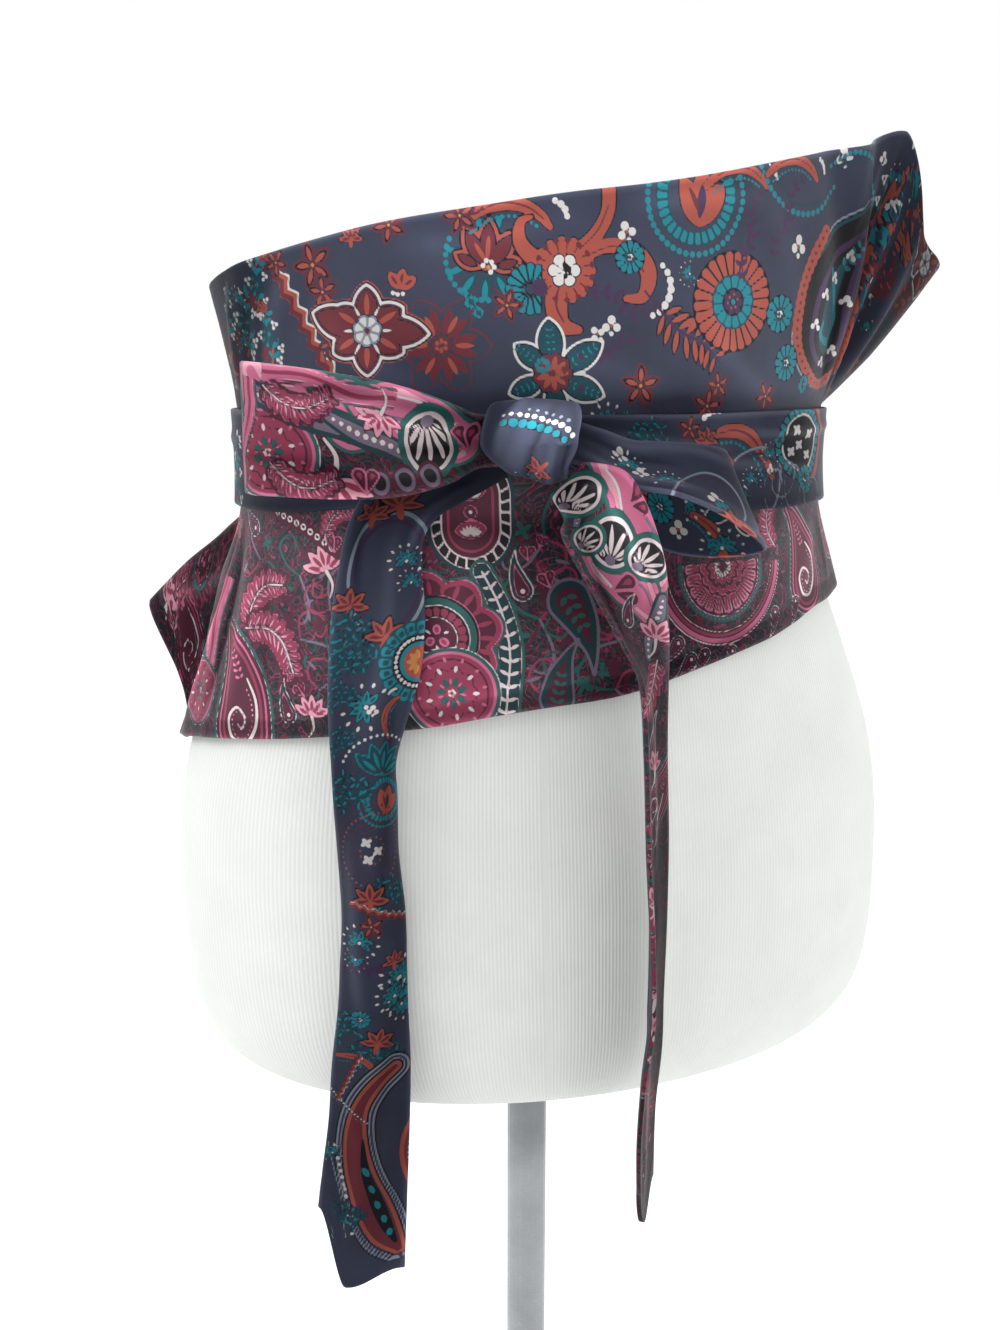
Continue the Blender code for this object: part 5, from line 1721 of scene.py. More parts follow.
TIE_RIGHT_CREASES = [
    (4, 8, 92, 3, 2, 2.6, 0.7),
    (30, -9, 170, -4, -2, 3, 0.7),
    (120, 12, 240, 6, 2, 2.6, 0.8),
    (200, -10, 330, -12, 2, 2.6, 0.7),
    (300, 9, 400, 13, -2, 2.8, 0.8),
    (380, 2, 492, -3, 1, 2.6, 0.9),
    (420, -12, 494, -7, 1, 2, 0.7),
]
TIE_LEFT_CREASES = [
    (4, -8, 88, -2, -2, 2.6, 0.7),
    (40, 9, 180, 6, 2, 3, 0.7),
    (150, -11, 260, -7, 2, 2.8, 0.8),
    (280, 15, 420, 12, -1.5, 2.2, 0.9),
    (330, -6, 470, -1, 2, 2.6, 0.8),
    (400, 5, 500, 3, 1, 2.4, 0.9),
    (430, -14, 500, -6, -2, 2, 0.8),
]
TIE_RIGHT_PRINT = [
    # motif, along, across, turn, size
    (SPRIG, 6, 12, 20, 0.9),
    (TEAL_SPRAY, 52, -12, 200, 0.8),
    (VINE, 74, 8, 6, 0.8),
    (LEAFY_PATCH, 110, -12, 0, 0.7),
    (TEAL_DAISY, 112, 12, 0, 0.8),
    (BUD, 160, 12, 0, 1),
    (DOTTED_PATCH, 178, 8, 0, 0.6),
    (CORAL_SCROLL, 228, 13, 4, 0.5),
    (WHITE_BLOSSOM, 226, -10, 0, 1),
    (BEADED_ARC, 272, 12, 0, 0.6),
    (THISTLE, 272, -12, 10, 0.9),
    (SPRIG, 304, 12, 60, 0.9),
    (LEAFY_PATCH, 322, -12, 0, 0.7),
    (OUTLINED_FLOWER, 26, 0, 10, 0.7),
    (SPRIG, 58, 8, 0, 1),
    (CORAL_SCROLL, 92, 0, 0, 0.6),
    (RING_DAISY, 138, 2, 0, 0.75),
    (TEAL_SPRAY, 168, -8, 30, 1),
    (LEAF_FLOWER, 205, 0, -10, 0.8),
    (SHADOW_FLOWER, 250, 2, 0, 0.9),
    (FERN, 292, 0, 0, 0.7),
    (TEAL_DAISY, 325, 6, 0, 0.9),
    (SPRIG, 440, 0, 60, 0.9),
    (VINE, 468, 2, 0, 0.7),
    (DOTTED_PATCH, 353.1, 8.8, 0, 0.8),
    (FOLIAGE, 343.6, -9.8, 0, 0.9),
]
TIE_LEFT_PRINT = [
    # motif, along, across, turn, size
    (SPRIG, 6, -12, 20, 0.9),
    (TEAL_SPRAY, 44, 12, 40, 0.8),
    (VINE, 46, -12, 10, 0.8),
    (CORAL_SCROLL, 92, 11, -8, 0.5),
    (TEAL_DAISY, 90, -13, 0, 0.7),
    (WHITE_BLOSSOM, 104, -12, 0, 0.9),
    (LEAFY_PATCH, 134, -10, 0, 0.8),
    (SPRIG, 134, 13, 80, 0.9),
    (DOTTED_PATCH, 186, -10, 0, 0.6),
    (THISTLE, 214, -10, 20, 0.9),
    (CORAL_SCROLL, 262, -12, 6, 0.5),
    (TEAL_SPRAY, 296, -8, 0, 0.8),
    (SPRIG, 312, 10, 10, 0.9),
    (BUD, 288, 12, 0, 0.9),
    (SHADOW_FLOWER, 24, 4, 0, 0.9),
    (RING_DAISY, 66, -4, 0, 0.8),
    (FERN, 112, 2, 10, 0.7),
    (LEAF_FLOWER, 158, 0, 20, 0.85),
    (BEADED_ARC, 200, 6, 0, 0.8),
    (TEAL_CORAL_FLOWER, 238, -2, 0, 0.9),
    (SPRIG, 270, 6, 40, 1),
    (WHITE_BLOSSOM, 182, 12, 0, 0.9),
    (CORAL_SCROLL, 397.6, 9.3, 30, 0.85),
    (SLATE_OVAL, 393.2, -11.4, 60, 1.1),
    (FERN, 412.7, -3.5, -19.8, 0.6),
    (TEAL_SPRAY, 392.4, -8.5, 0, 0.6),
    (TEAL_SPRAY, 400.5, -14.9, 60, 0.5),
    (DOT_RING, 353.4, 6.8, 0, 0.95),
    (SLATE_OVAL, 363.1, -12.7, 30, 0.5),
    (SLATE_OVAL, 378.8, -13.6, 30, 0.5),
    (TEAL_DAISY, 349.8, -9.8, 0, 0.8),
    (LEAFY_PATCH, 445.6, 8.2, 0, 0.7),
    (SPRIG, 426.6, 12.3, 0, 0.8),
    (THISTLE, 417.6, 7.8, 0, 0.7),
    (SLATE_OVAL, 343.4, -16.7, 70, 0.5),
    (SLATE_OVAL, 369.9, -8.8, 60, 0.5),
    (TEAL_SPRAY, 379.1, 1.9, 0, 0.6),
    (WHITE_BLOSSOM, 379.8, -3.9, 0, 0.6),
    (TEAL_DAISY, 372.3, 8.8, 0, 0.45),
]
TIE_SHADE = [
    # along, across, reach along, reach across, depth
    (386, -22, 60, 7, 0.60),
    (352, 0, 40, 40, 0.24),
    (500, 0, 46, 40, 0.60),
    (420, 0, 80, 40, 0.34),
    (372, 0, 24, 40, 0.18),
    (0, 0, 18, 40, 0.20),
]
for name, node_name, long, rows, creases, layout, sign in (
    ("tie_right_cloth", "tie_right_round_back", 0.494, TIE_RIGHT, TIE_RIGHT_CREASES,
     TIE_RIGHT_PRINT, 1.0),
    ("tie_left_cloth", "tie_left_round_back", 0.503, TIE_LEFT, TIE_LEFT_CREASES,
     TIE_LEFT_PRINT, -1.0),
):
    middle, along, across = tie_middle(rows, creases)
    ring, faces, finish, back_at = cloth_shell(middle, 7, sign=sign)
    u, v = ring_run(along, across, back_at)
    deep = depth_of_shade(u, v, creases, TIE_SHADE, (across[:, :1], across[:, -1:]))
    fields = print_cloth(u, v, layout, deep)
    piece = add_piece(name, ring.reshape(-1, 3), faces, [floral_satin], fields)
    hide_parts(node_name)

# Join stitches. Dark polyester thread, machined through the end of each tie where it
# is sewn over the panel's end at the back; every stitch dips into the satin.
STITCH_LONG = 3.0      # each stitch, and the step from one to the next
STITCH_PITCH = 3.9
THREAD_THICK = 0.32    # half the thread's width
STITCH_CUTS = 7        # rings of points along a stitch, and points round each
STITCH_SIDES = 8
STITCH_LINES = (3.2, 6.4)   # the two rows, this far in from the end of the tie
STITCH_SUNK = 0.16     # how far a stitch's ends lie in the satin

# polyester thread: a dark twisted line with a low gloss, little paler than the satin
stitch_thread, tree, shader = blank_material("polyester_thread")
place_on = add_node(tree, "ShaderNodeTexCoord")
twist = add_node(tree, "ShaderNodeTexWave", [(0, place_on.outputs["Object"])], in_1=900.0,
                 in_2=1.0)
thread_tone = add_node(tree, "ShaderNodeMix", [(0, twist.outputs[1])], data_type="RGBA",
                       in_6=linear("#23242e"), in_7=linear("#3c3e4c"))
thread_lay = add_node(tree, "ShaderNodeBump", [(3, twist.outputs[1])], in_0=0.3, in_1=0.0001)
tree.links.new(thread_tone.outputs[2], shader.inputs["Base Color"])
tree.links.new(thread_lay.outputs[0], shader.inputs["Normal"])
shader.inputs["Roughness"].default_value = 0.55

for name, rows, sign in (
    ("join_stitches_right", TIE_RIGHT, 1.0),
    ("join_stitches_left", TIE_LEFT, -1.0),
):
    middle, along, across = tie_middle(rows, [])
    out = grid_normals(middle, False) * sign
    points, faces = [], []
    for line in STITCH_LINES:
        row = int(np.argmin(np.abs(along[:, TIE_COLUMNS // 2] - line)))
        for at in np.arange(-19.5, 18.0, STITCH_PITCH):
            for k in range(STITCH_CUTS):
                v = at + STITCH_LONG * k / (STITCH_CUTS - 1)
                column = np.interp(v, across[row], np.arange(middle.shape[1]))
                low = int(column)
                part = column - low
                spot = middle[row, low] * (1 - part) + middle[row, low + 1] * part
                normal = out[row, low]
                over = middle[row, low + 1] - middle[row, low]
                over /= np.linalg.norm(over)
                side = np.cross(normal, over)
                swell = math.sin(math.pi * (k + 0.25) / 6.5)
                centre = spot + normal * (CLOTH / 2.0 - STITCH_SUNK + 0.30 * swell)
                for j in range(STITCH_SIDES):
                    f = 2.0 * math.pi * j / STITCH_SIDES
                    points.append(centre + THREAD_THICK * (0.55 + 0.45 * swell)
                                  * (normal * math.cos(f) + side * math.sin(f)))
            start = len(points) - STITCH_CUTS * STITCH_SIDES
            for k in range(STITCH_CUTS - 1):
                for j in range(STITCH_SIDES):
                    n = (j + 1) % STITCH_SIDES
                    a = start + k * STITCH_SIDES
                    b = a + STITCH_SIDES
                    faces.append((a + j, a + n, b + n, b + j))
            faces.append(tuple(start + j for j in reversed(range(STITCH_SIDES))))
            faces.append(tuple(len(points) - STITCH_SIDES + j for j in range(STITCH_SIDES)))
    piece = add_piece(name, points, faces, [stitch_thread])

# Knot. A short width of the strap, in the floral satin, wrapped once round the
# middle of the bow and tucked in behind it.
BOW_X = -2.5
KNOT_AT = (-1.5, -126.7, 11.0)
KNOT_TURNS = 120       # lines of points round the knot
KNOT_COLUMNS = 41      # and points on each, rim to rim
KNOT_ROWS = [
    # turn round the knot, left rim, right rim, half depth, half height
    (0, -18, 19, 13.8, 13.8),
    (45, -16, 20.5, 13.8, 14.2),
    (90, -13, 19, 13.8, 13.8),
    (180, -11, 13, 12.8, 13.4),
    (270, 3, 15, 13.8, 13.8),
    (315, -9, 15.5, 14.2, 14.2),
    (360, -18, 19, 13.8, 13.8),
]
turn = np.arange(0.0, 360.0, 360.0 / KNOT_TURNS)[:, None]
left, right, depth, tall = row_at(KNOT_ROWS, turn)
s = np.linspace(-1.0, 1.0, KNOT_COLUMNS)[None]
swell = 1.0 + 0.10 * (1.0 - s * s)
inset_s = s * 0.955
a = np.radians(turn)
middle = np.stack([
    BOW_X + KNOT_AT[0] + left + (right - left) * (inset_s + 1.0) / 2.0,
    KNOT_AT[1] - depth * swell * np.cos(a),
    WAIST + KNOT_AT[2] + tall * swell * np.sin(a),
], -1)
KNOT_CREASES = [
    (-30, -12, 20, 9, 2, 2.4, -1.3),
    (-30, -4, 12, 14, 3, 2.2, 1),
    (-26, 8, 2, 17, 1.5, 2, -0.9),
    (-8, -16, 30, -2, 2, 2.4, 0.9),
    (6, -14, 34, 4, -2, 2, -0.7),
]
along, across = cloth_run(middle, 0)
across = across - across[:, -1:] / 2.0
front = (along + 50.0) % 99.4 - 50.0
out = -grid_normals(middle, True)
middle = middle + out * soft_creases(front, across, KNOT_CREASES)[..., None]
ring, faces, finish, back_at = cloth_shell(middle, 4, closed=True, sign=-1.0)
KNOT_PRINT = [
    # motif, along, across, turn, size
    (KNOT_BEADS, 7.3, 2.7, 102.7, 0.9),
    (THISTLE, -13, 1.9, 163.6, 0.7),
    (TEAL_SPRAY, -15.7, -4.2, 100, 0.5),
]
KNOT_SHADE = [
    # along, across, reach along, reach across, depth
    (7, 3, 13, 12, -0.85),
    (-22, 0, 12, 30, 0.30),
    (40, 0, 12, 30, 0.45),
    (4, -17, 30, 4, 0.40),
    (10, -14, 26, 6, 0.45),
]
u, v = ring_run(front, across, back_at)
deep = depth_of_shade(u, v, KNOT_CREASES, KNOT_SHADE, (across[:, :1], across[:, -1:]))
fields = print_cloth(u, v, KNOT_PRINT, deep)
knot_cloth = add_piece("knot_cloth", ring.reshape(-1, 3), faces, [floral_satin], fields)
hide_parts("knot_wrap")

# Bow loops and tails. The free ends of the same straps, floral on one side and paisley
# on the other side: each loop is folded back and caught under the knot, and each
# tail hangs from it to a slanted end.
LOOP_LEFT = [
    # x, y, z, half, turn, tilt, cup
    (-3, -133.4, 11, 9.8, 0, 90, 0.5),
    (-13, -133.6, 11, 9.6, 0, 90, 0.8),
    (-21, -136, 11, 10.4, 0, 90, 1.5),
    (-32, -145, 11, 15.5, 0, 90, 2.4),
    (-50, -153, 12, 20.5, 0, 90, 2.8),
    (-72, -158, 14, 22.8, 0, 90, 2),
    (-92, -158, 15.8, 23.8, 0, 90, 1),
    (-103, -153.5, 16.5, 24.2, 0, 90, 0.4),
    (-107, -145.5, 16.8, 24.2, 0, 90, 0),
    (-103, -137.5, 16.6, 24, 0, 90, 0),
    (-90, -131.5, 16, 23.2, 0, 90, 0),
    (-70, -128, 14.5, 21, 0, 90, -0.6),
    (-48, -126.5, 12.5, 17, 0, 90, -1),
    (-30, -123, 11, 12, 0, 90, -0.8),
    (-14, -120.6, 11, 9.6, 0, 90, -0.4),
    (-3, -120.4, 11, 9.8, 0, 90, -0.2),
]
LOOP_RIGHT = [
    # x, y, z, half, turn, tilt, cup
    (5, -133, 11.5, 8.4, 90, 82, -0.5),
    (15, -133, 11, 8.4, 90, 76, -0.8),
    (26, -134, 7.5, 10, 90, 58, -1.5),
    (39, -134, 2.5, 13.5, 90, 40, -2.5),
    (53, -132.5, 1, 15.5, 94, 36, -3),
    (67, -130, -2.5, 18, 104, 42, -2.5),
    (78, -126.5, -7.5, 20.5, 120, 52, -1.5),
    (84.5, -121, -11.5, 21.5, 136, 60, -0.5),
    (85, -114, -14, 21.5, 144, 65, 0),
    (80, -109, -16.5, 20.5, 136, 70, 0.8),
    (68, -107.5, -18, 19, 110, 76, 1.5),
    (53, -111, -16, 17, 95, 82, 1.8),
    (38, -116, -8, 14, 90, 86, 1.5),
    (25, -120.5, 2.5, 10.5, 90, 90, 1),
    (15, -121, 10, 8.8, 90, 90, 0.6),
    (5, -120.4, 11, 10.2, 90, 90, 0.4),
]
TAIL_LEFT = [
    # x, y, z, half, turn, tilt, cup
    (-13, -117.8, 2, 7, 0, -50, 0.3),
    (-25, -117, -1.5, 10, 0, -48, 0.6),
    (-37, -117.6, -5, 13, 2, -42, 1),
    (-49, -118, -12, 15, 6, -26, 1.5),
    (-57, -118.5, -24, 15.5, 12, -10, 2),
    (-60, -120, -40, 17, 14, 0, 2.5),
    (-61, -122.5, -60, 19, 8, 0, 2.5),
    (-62.6, -125, -81, 18.8, 8, 0, 3),
    (-65, -128.5, -98, 16.5, 12, 0, 5),
    (-67, -132.5, -117, 13.4, 16, 0, 8),
    (-66.5, -134, -133, 13.2, 16, 0, 8.5),
    (-65.8, -134.5, -156, 12.6, 14, 0, 8.5),
    (-64.2, -134.5, -181, 13.2, 10, 0, 8),
    (-64.8, -134, -205, 14, 6, 0, 7),
    (-65.4, -133.5, -224, 14.8, 4, 0, 6),
    (-66.8, -133, -250, 16.8, 0, 0, 4),
    (-68.4, -132.5, -278, 17.8, -6, 0, 2.5),
    (-71, -132, -306, 19.2, -8, 0, 2),
    (-73, -132, -330, 19.4, -8, 0, 1.5),
]
TAIL_RIGHT = [
    # x, y, z, half, turn, tilt, cup
    (13.2, -138.6, -2.8, 9, -5, 48, -1.5),
    (23, -147, -8, 14.5, -5, 40, -4),
    (26.5, -150, -16, 17, 0, 20, -6),
    (31, -151.5, -27, 17.3, 5, 8, -7),
    (35.5, -150, -38, 16.6, 15, 3, -7),
    (39.5, -147, -50, 15.8, 32, 0, -6),
    (44.5, -142, -65, 15.4, 50, 0, -5),
    (49, -138.5, -81, 16, 65, 0, -4),
    (50.6, -137, -112, 17, 70, 0, -3),
    (52.5, -136, -152, 17.5, 71, 0, -3),
    (54, -135.5, -190, 17.5, 75, 0, -2.5),
    (54.2, -135, -225, 17.5, 77, 0, -2.5),
    (52.6, -135, -250, 17.5, 72, 0, -2.5),
    (50.8, -135, -278, 17.5, 73, 0, -2),
    (51, -135, -300, 17.5, 74, 0, -2),
]
RIBBON_STEP = 0.8      # points this far apart along a loop or tail, in millimetres
RIBBON_COLUMNS = 47    # and points across it
END_LEFT = [
    # place across, how far it hangs past the last row
    (-1, -9),
    (-0.4, 29),
    (1, 17),
]
END_RIGHT = [
    # place across, how far it hangs past the last row
    (-1, 0),
    (0.4, 29),
    (1, 12),
]


def ribbon_middle(rows, end_rows, creases):
    # a smooth run through the table's rows, with the slanted end hung below the last
    table = np.array(rows, dtype=float)
    last = len(table) - 1
    lines, shares = [], []
    for k in range(last):
        gap_to = np.linalg.norm(table[k + 1, :3] - table[k, :3])
        cuts = max(2, math.ceil(gap_to / RIBBON_STEP))
        before, after = table[max(k - 1, 0)], table[min(k + 2, last)]
        p1, p2 = table[k], table[k + 1]
        for c in range(cuts + (k == last - 1)):
            u = c / cuts
            lines.append(0.5 * (2 * p1 + (p2 - before) * u
                                + (2 * before - 5 * p1 + 4 * p2 - after) * u * u
                                + (3 * p1 - before - 3 * p2 + after) * u ** 3))
            shares.append(u if k == last - 1 else 0.0)
    lines = np.array(lines)
    half, turn, tilt, cup = lines[:, 3], np.radians(lines[:, 4]), np.radians(lines[:, 5]), lines[:, 6]
    middle = lines[:, :3] + np.array([BOW_X, 0.0, WAIST])
    ahead = np.gradient(middle, axis=0)
    over = np.stack([np.cos(turn) * np.cos(tilt), np.sin(turn) * np.cos(tilt), np.sin(tilt)], -1)
    out = np.cross(ahead, over)
    out /= np.linalg.norm(out, axis=-1, keepdims=True)
    s = np.linspace(-1.0, 1.0, RIBBON_COLUMNS)
    wide = (half - EDGE_ROLL)[:, None] * s[None]
    grid = (middle[:, None] + over[:, None] * wide[..., None]
            + out[:, None] * (cup[:, None] * (1.0 - s * s)[None])[..., None])
    if end_rows:
        grid[..., 2] -= row_at(end_rows, s)[0][None] * np.array(shares)[:, None]
    along, across = cloth_run(grid, 0)
    along = along[:, 23:24] + 0.0 * along    # from here on, the run of the middle line
    across = across - across[:, -1:] / 2.0
    grid = grid + out[:, None] * soft_creases(along, across, creases)[..., None]
    return grid, along, across


LOOP_LEFT_PRINT = [
    # motif, along, across, turn, size
    (PINK_GROUND, 99, -3, -98.9, 1),
    (PINK_GROUND, 72.4, 10.4, -167.4, 0.9),
    (PINK_GROUND, 42.7, 6.8, -158.5, 0.9),
    (PINK_BAND, 76.2, 18.3, -170.5, 0.6),
    (DOTTED_ROSE, 99, -8, 0, 0.8),
    (GREY_BAND, 80.3, 5.8, -147.4, 1),
    (GREY_BAND, 60.7, 0, -142.8, 0.7),
    (OVAL_LEAF, 39.6, 0, 175.7, 1.2),
    (FEATHER, 89, 11.8, -178.7, 0.7),
    (TULIP, 75.4, -15.3, 177, 1.3),
    (OVALS, 49.1, -14.1, 169.6, 1.1),
    (TULIP, 57.6, 9.8, -168.8, 0.8),
    (FEATHER, 87.5, -16.7, -174.1, 0.7),
    (HEART, 23.5, 1.9, 0, 1.8),
    (HEART, 63.9, -15.6, 0, 1.5),
    (PINK_BAND, 109.2, -1, 102, 0.5),
]
LOOP_RIGHT_PRINT = [
    # motif, along, across, turn, size
    (TEAL_SPRAY, 34.1, 0.5, 0, 0.7),
    (WHITE_BLOSSOM, 30.8, 4, 0, 0.9),
    (WHITE_BLOSSOM, 39, -2.9, 0, 0.9),
    (TEAL_SPRAY, 49.1, -5.7, 0, 0.6),
    (SLATE_OVAL, 64.8, -10.6, -43.9, 0.9),
    (WHITE_BLOSSOM, 66.5, -10, 0, 0.9),
    (TEAL_DAISY, 68.9, -14.2, 0, 0.5),
    (THISTLE, 71.2, -20.5, 0, 0.9),
    (LEAFY_PATCH, 112.1, -1.6, 0, 0.7),
    (TEAL_SPRAY, 98.2, -21.2, 0, 0.8),
    (THISTLE, 104.5, -20.4, 0, 0.8),
]
TAIL_LEFT_PRINT = [
    # motif, along, across, turn, size
    (SLATE_OVAL, 70.9, 3.5, 87.4, 1.25),
    (TEAL_SPRAY, 66.1, 9.7, 90, 0.75),
    (TEAL_SPRAY, 75.3, 12.5, 90, 0.6),
    (THISTLE, 84, -11.6, 90, 0.85),
    (LEAFY_PATCH, 94.4, -10.4, 90, 0.9),
    (LEAFY_PATCH, 100.9, -0.8, 90, 0.8),
    (THISTLE, 96.8, 3.2, 82.8, 0.95),
    (LEAFY_PATCH, 105.6, -12.7, 90, 0.7),
    (BEADED_HALF, 107.1, 17.6, 90, 1),
    (TEAL_SPRAY, 125, -2.1, -193.7, 0.95),
    (WHITE_BLOSSOM, 126.6, 0.7, 90, 0.6),
    (CORAL_SCROLL, 127.4, 6.9, 176.4, 0.35),
    (LEAFY_PATCH, 119.5, -12.7, 90, 0.6),
    (LEAFY_PATCH, 137.8, -11.1, 90, 0.6),
    (LEAF_FAN, 153.1, 5.6, 82.3, 0.85),
    (TEAL_RING, 163.2, 6.9, 74.8, 0.52),
    (LEAFY_PATCH, 157.6, -8.3, 98.6, 0.8),
    (DOTTED_PATCH, 183.4, 0.5, 77.4, 1),
    (LEAFY_PATCH, 201.7, 7.4, 69.8, 0.7),
    (THISTLE, 204.9, -1.6, 90, 0.85),
    (WAVY_STRIPE, 212.1, 5, -199.9, 0.5),
    (TEAL_SPRAY, 223.4, -6.3, 79, 0.8),
    (TEAL_SPRAY, 231.3, -7.7, -102.3, 0.55),
    (TEAL_DAISY, 245.8, 12.2, 0, 0.7),
    (TEAL_SPRAY, 241.3, 11.4, 70.8, 0.95),
    (TEAL_SPRAY, 249.5, 8.7, -192.1, 0.8),
    (TEAL_SPRAY, 254.2, 12.3, -82.1, 0.7),
    (LEAFY_PATCH, 273.1, 2.6, 73.2, 0.85),
    (THISTLE, 270.6, 2.6, 78.5, 0.8),
    (CORAL_SCROLL, 280.5, -2.7, 66.2, 0.4),
    (CORAL_BAND, 327.8, 7, 104.4, 1),
    (BEAD_LINE, 342.6, -10.3, 100.2, 1),
    (BEAD_LINE, 302.5, -10.9, -230.8, 0.55),
    (TEAL_SPRAY, 380.1, -13.6, 148.3, 0.5),
    (THISTLE, 42.7, -0.6, 125.7, 1),
    (THISTLE, 49.5, -7.6, 103.6, 0.7),
    (WAVY_STRIPE, 287.6, -9.2, 67.8, 0.4),
    (TEAL_SPRAY, 326.2, -14.7, 113.4, 0.5),
    (LEAFY_PATCH, 261.9, -13.3, 109.1, 0.8),
    (VINE, 232.1, 0.6, 97.4, 0.7),
    (SPRIG, 216.1, -1.6, 102.1, 0.7),
    (LEAFY_PATCH, 354.9, -4.9, 90, 0.7),
    (TEAL_DAISY, 259, -5, 90, 0.5),
    (THISTLE, 233.6, 8.4, 90, 0.6),
]
TAIL_RIGHT_PRINT = [
    # motif, along, across, turn, size
    (FEATHER, 93.9, -1.3, -65.8, 0.9),
    (TEARDROP, 114.9, 1.4, 75, 1),
    (SPIRAL_PAISLEY, 142, 6.5, 23.6, 0.6),
    (ROSETTE, 159.6, -17, 69.9, 0.5),
    (FEATHER, 189.9, -16.1, 6.5, 1),
    (TULIP, 219.9, -18, 65.2, 1),
    (DOTTED_ROSE, 246.1, -17.5, 62.4, 0.8),
    (FEATHER, 280.4, 2.2, 15.1, 1),
    (TEARDROP, 305.7, 3.2, 50.3, 1),
    (PINK_GROUND, 26.3, 14.5, -4.5, 0.9),
    (PINK_GROUND, 46.8, -0, 38.7, 0.75),
    (GREY_BAND, 67.5, 9.8, -7.2, 0.6),
    (GREY_BAND, 6.6, -6.1, -6.1, 0.6),
    (OVAL_LEAF, 8.5, -4, 4.7, 1),
    (OVAL_LEAF, 32, -0, 66.3, 1.05),
    (OVAL_LEAF, 38.7, 12.7, 25.7, 0.85),
    (OVAL_LEAF, 28.5, -8.8, 29.1, 0.7),
    (HEART, 51.1, -0, 0, 2),
    (HEART, 21.1, 15.6, 0, 1.3),
    (TULIP, 73.4, 10.5, 62.5, 0.9),
    (TEARDROP, 59.5, -0.6, 68.2, 0.7),
    (TULIP, 127.6, 1.4, 73.4, 0.8),
    (TEARDROP, 152.5, -0, 71.1, 0.8),
    (TULIP, 178.9, -16.9, 68.6, 0.7),
    (DOTTED_ROSE, 203.4, -14.6, 66.4, 0.6),
    (TULIP, 233.3, -19.2, 64.6, 0.7),
]
LOOP_LEFT_CREASES = [
    (8, 0, 84, 6, 3, 2.6, 1.3),
    (8, 4, 100, 17, 4, 2.4, -1.3),
    (10, -4, 76, -13, -3, 2.6, 1.3),
    (12, -2, 60, -4, 0, 2.2, -1),
    (44, 18, 110, 10, -3, 3, 1),
    (60, -18, 116, -10, 3, 3.4, -0.9),
    (130, 12, 220, 2, 2, 3, -1),
    (140, -10, 224, -3, -2, 3, 1),
]
LOOP_RIGHT_CREASES = [
    (6, 2, 60, 5, 2, 2.2, -1),
    (6, -2, 66, -7, -2, 2.2, 1),
    (20, 5, 88, 14, 3, 2.6, 0.9),
    (30, -8, 96, -16, -2, 2.6, -0.9),
    (120, 8, 205, 2, 2, 2.8, -0.9),
    (126, -10, 206, -3, -2, 2.8, 0.9),
]
TAIL_LEFT_CREASES = [
    (4, 2, 70, 10, 4, 2.4, 1.2),
    (6, -3, 84, -8, -4, 2.6, -1.1),
    (40, 2, 150, -4, 4, 3.6, 0.8),
    (110, 8, 210, 1, 3, 3.4, -0.9),
    (170, -9, 268, -3, -3, 3.4, 0.8),
    (230, 6, 330, 2, 3, 4, -0.7),
    (300, -8, 372, -2, 2, 4, 0.7),
]
TAIL_RIGHT_CREASES = [
    (4, 0, 60, 8, 3, 2.4, 1.3),
    (8, -6, 74, -10, -3, 2.6, -1.2),
    (30, 12, 96, 12, 2, 2.2, 1.1),
    (80, -4, 190, 3, 3, 3.2, 0.9),
    (150, 7, 260, -3, -3, 3.4, -0.8),
    (230, -6, 330, 2, 3, 3.6, 0.8),
]
CUTS = {
    # width and length of the strap's stretch in metres, its flat area, how it is held
    "loop_left_cloth": (0.051, 0.233, 0.0088, "folded"),
    "loop_right_cloth": (0.046, 0.215, 0.0057, "folded"),
    "tail_left_cloth": (0.066, 0.398, 0.0133, "hung"),
    "tail_right_cloth": (0.058, 0.344, 0.0118, "hung"),
}
SHADE = {
    # along, across, reach along, reach across, depth
    "loop_left_cloth": [(20, 0, 16, 30, 0.45), (60, 22, 60, 5, -0.05),
                        (60, -14, 34, 9, 0.30), (96, 10, 18, 20, -0.05),
                        (175, 0, 60, 40, 0.40)],
    "loop_right_cloth": [(10, 0, 14, 30, 0.40), (56, 4, 34, 20, 0.22),
                         (84, -16, 30, 4, -0.60), (150, 0, 60, 40, 0.45),
                         (76, 0, 60, 40, 0.24)],
    "tail_left_cloth": [(16, 0, 36, 30, 1.30), (150, -12, 60, 6, 0.22),
                        (250, 13, 60, 5, 0.20), (260, 0, 170, 50, 0.44),
                        (350, 0, 66, 60, 0.34)],
    "tail_right_cloth": [(4, 0, 10, 30, 0.55), (44, -13, 30, 7, 0.35),
                         (30, 6, 22, 9, -0.30), (100, 0, 26, 30, 0.22),
                         (250, 0, 130, 30, 0.95)],
}
PAISLEY_BACK = [
    (FEATHER, 20, 0, 20, 1),
    (DOTTED_ROSE, 58, 2, 0, 0.8),
    (FAN_LEAF, 92, -4, 90, 0.9),
    (SPIRAL_PAISLEY, 132, 2, 60, 0.7),
    (TULIP, 168, -6, 10, 1),
    (ROSETTE, 205, 4, 0, 0.6),
    (FEATHER, 250, 0, -10, 1),
    (TEARDROP, 284, 4, 70, 1),
    (DOTTED_ROSE, 320, -2, 0, 0.8),
    (TULIP, 355, 2, 40, 0.9),
]
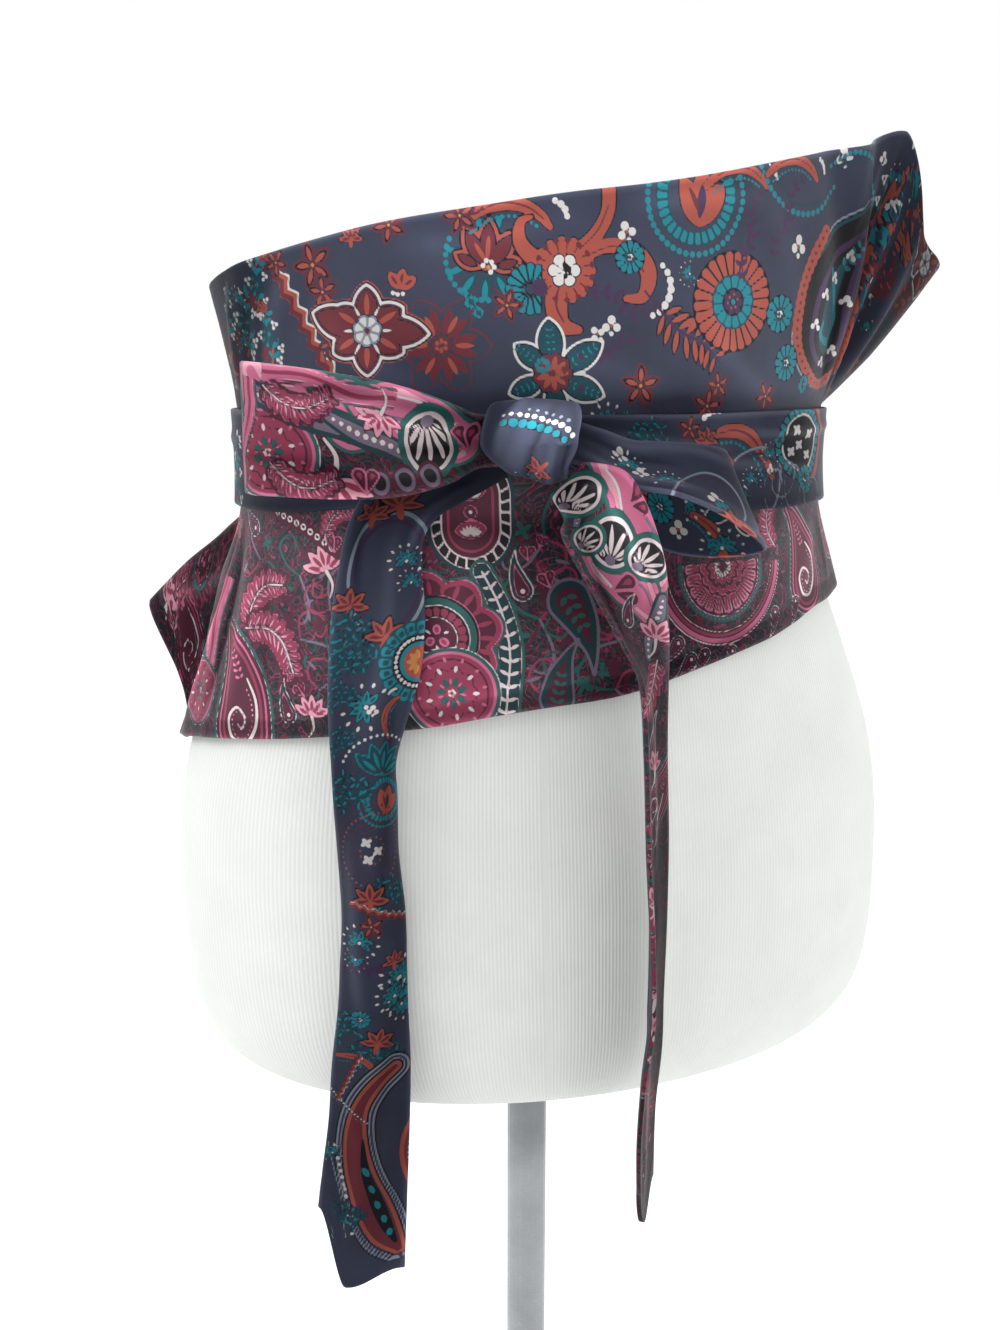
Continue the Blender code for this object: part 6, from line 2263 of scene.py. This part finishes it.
FLORAL_BACK = [
    (SPRIG, 16, 2, 20, 1),
    (TEAL_CORAL_FLOWER, 50, 0, 30, 0.8),
    (LEAF_FLOWER, 96, 2, 60, 0.8),
    (CORAL_SCROLL, 110, -8, 70, 0.55),
    (WHITE_BLOSSOM, 122, -8, 0, 1),
    (TEAL_DAISY, 130, 0, 0, 0.8),
    (TEAL_SPRAY, 118, 4, 60, 0.8),
    (TEAL_SPRAY, 106, -16, 0, 0.8),
    (RING_DAISY, 150, 2, 0, 0.7),
    (FERN, 194, 0, 0, 0.7),
    (SHADOW_FLOWER, 236, 2, 0, 0.8),
    (TEAL_SPRAY, 262, -6, 0, 1),
    (OUTLINED_FLOWER, 296, 0, 20, 0.7),
    (SPRIG, 330, 4, 60, 1),
]
for name, node_name, rows, end_rows, creases, layout, slot, sign in (
    ("loop_left_cloth", "bow_loop_left", LOOP_LEFT, None, LOOP_LEFT_CREASES, LOOP_LEFT_PRINT,
     "satin_paisley", -1.0),
    ("loop_right_cloth", "bow_loop_right", LOOP_RIGHT, None, LOOP_RIGHT_CREASES,
     LOOP_RIGHT_PRINT,
     "satin_floral", 1.0),
    ("tail_left_cloth", "tail_left", TAIL_LEFT, END_LEFT, TAIL_LEFT_CREASES, TAIL_LEFT_PRINT,
     "satin_floral", 1.0),
    ("tail_right_cloth", "tail_right", TAIL_RIGHT, END_RIGHT, TAIL_RIGHT_CREASES,
     TAIL_RIGHT_PRINT,
     "satin_paisley", 1.0),
):
    middle, along, across = ribbon_middle(rows, end_rows, creases)
    ring, faces, finish, back_at = cloth_shell(middle, 1, sign=sign)
    u, v = ring_run(along, across, back_at)
    inner_floral = slot == "satin_paisley" or name == "loop_right_cloth"
    deep = depth_of_shade(u, v, creases, SHADE[name], (across[:, :1], across[:, -1:]))
    fields = print_cloth(u, v, layout, deep)
    other = print_cloth(u, v, FLORAL_BACK if inner_floral else PAISLEY_BACK)
    lining = np.zeros(u.shape, dtype=bool)
    lining[:, across.shape[1] + 4:-4] = True
    # painted shade: the inner side of each loop is painted darker
    if "loop" in name:
        fields["cloth"][lining.ravel(), 2] = 0.30
    for field in ("ink_a", "ink_b", "ink_c"):
        fields[field][lining.ravel()] = other[field][lining.ravel()]
    satins = [floral_satin if slot == "satin_floral" else paisley_satin,
              floral_satin if inner_floral else paisley_satin]
    piece = add_piece(name, ring.reshape(-1, 3), faces, satins, fields, finish)
    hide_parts(node_name)
    wide, long, area, held = CUTS[name]
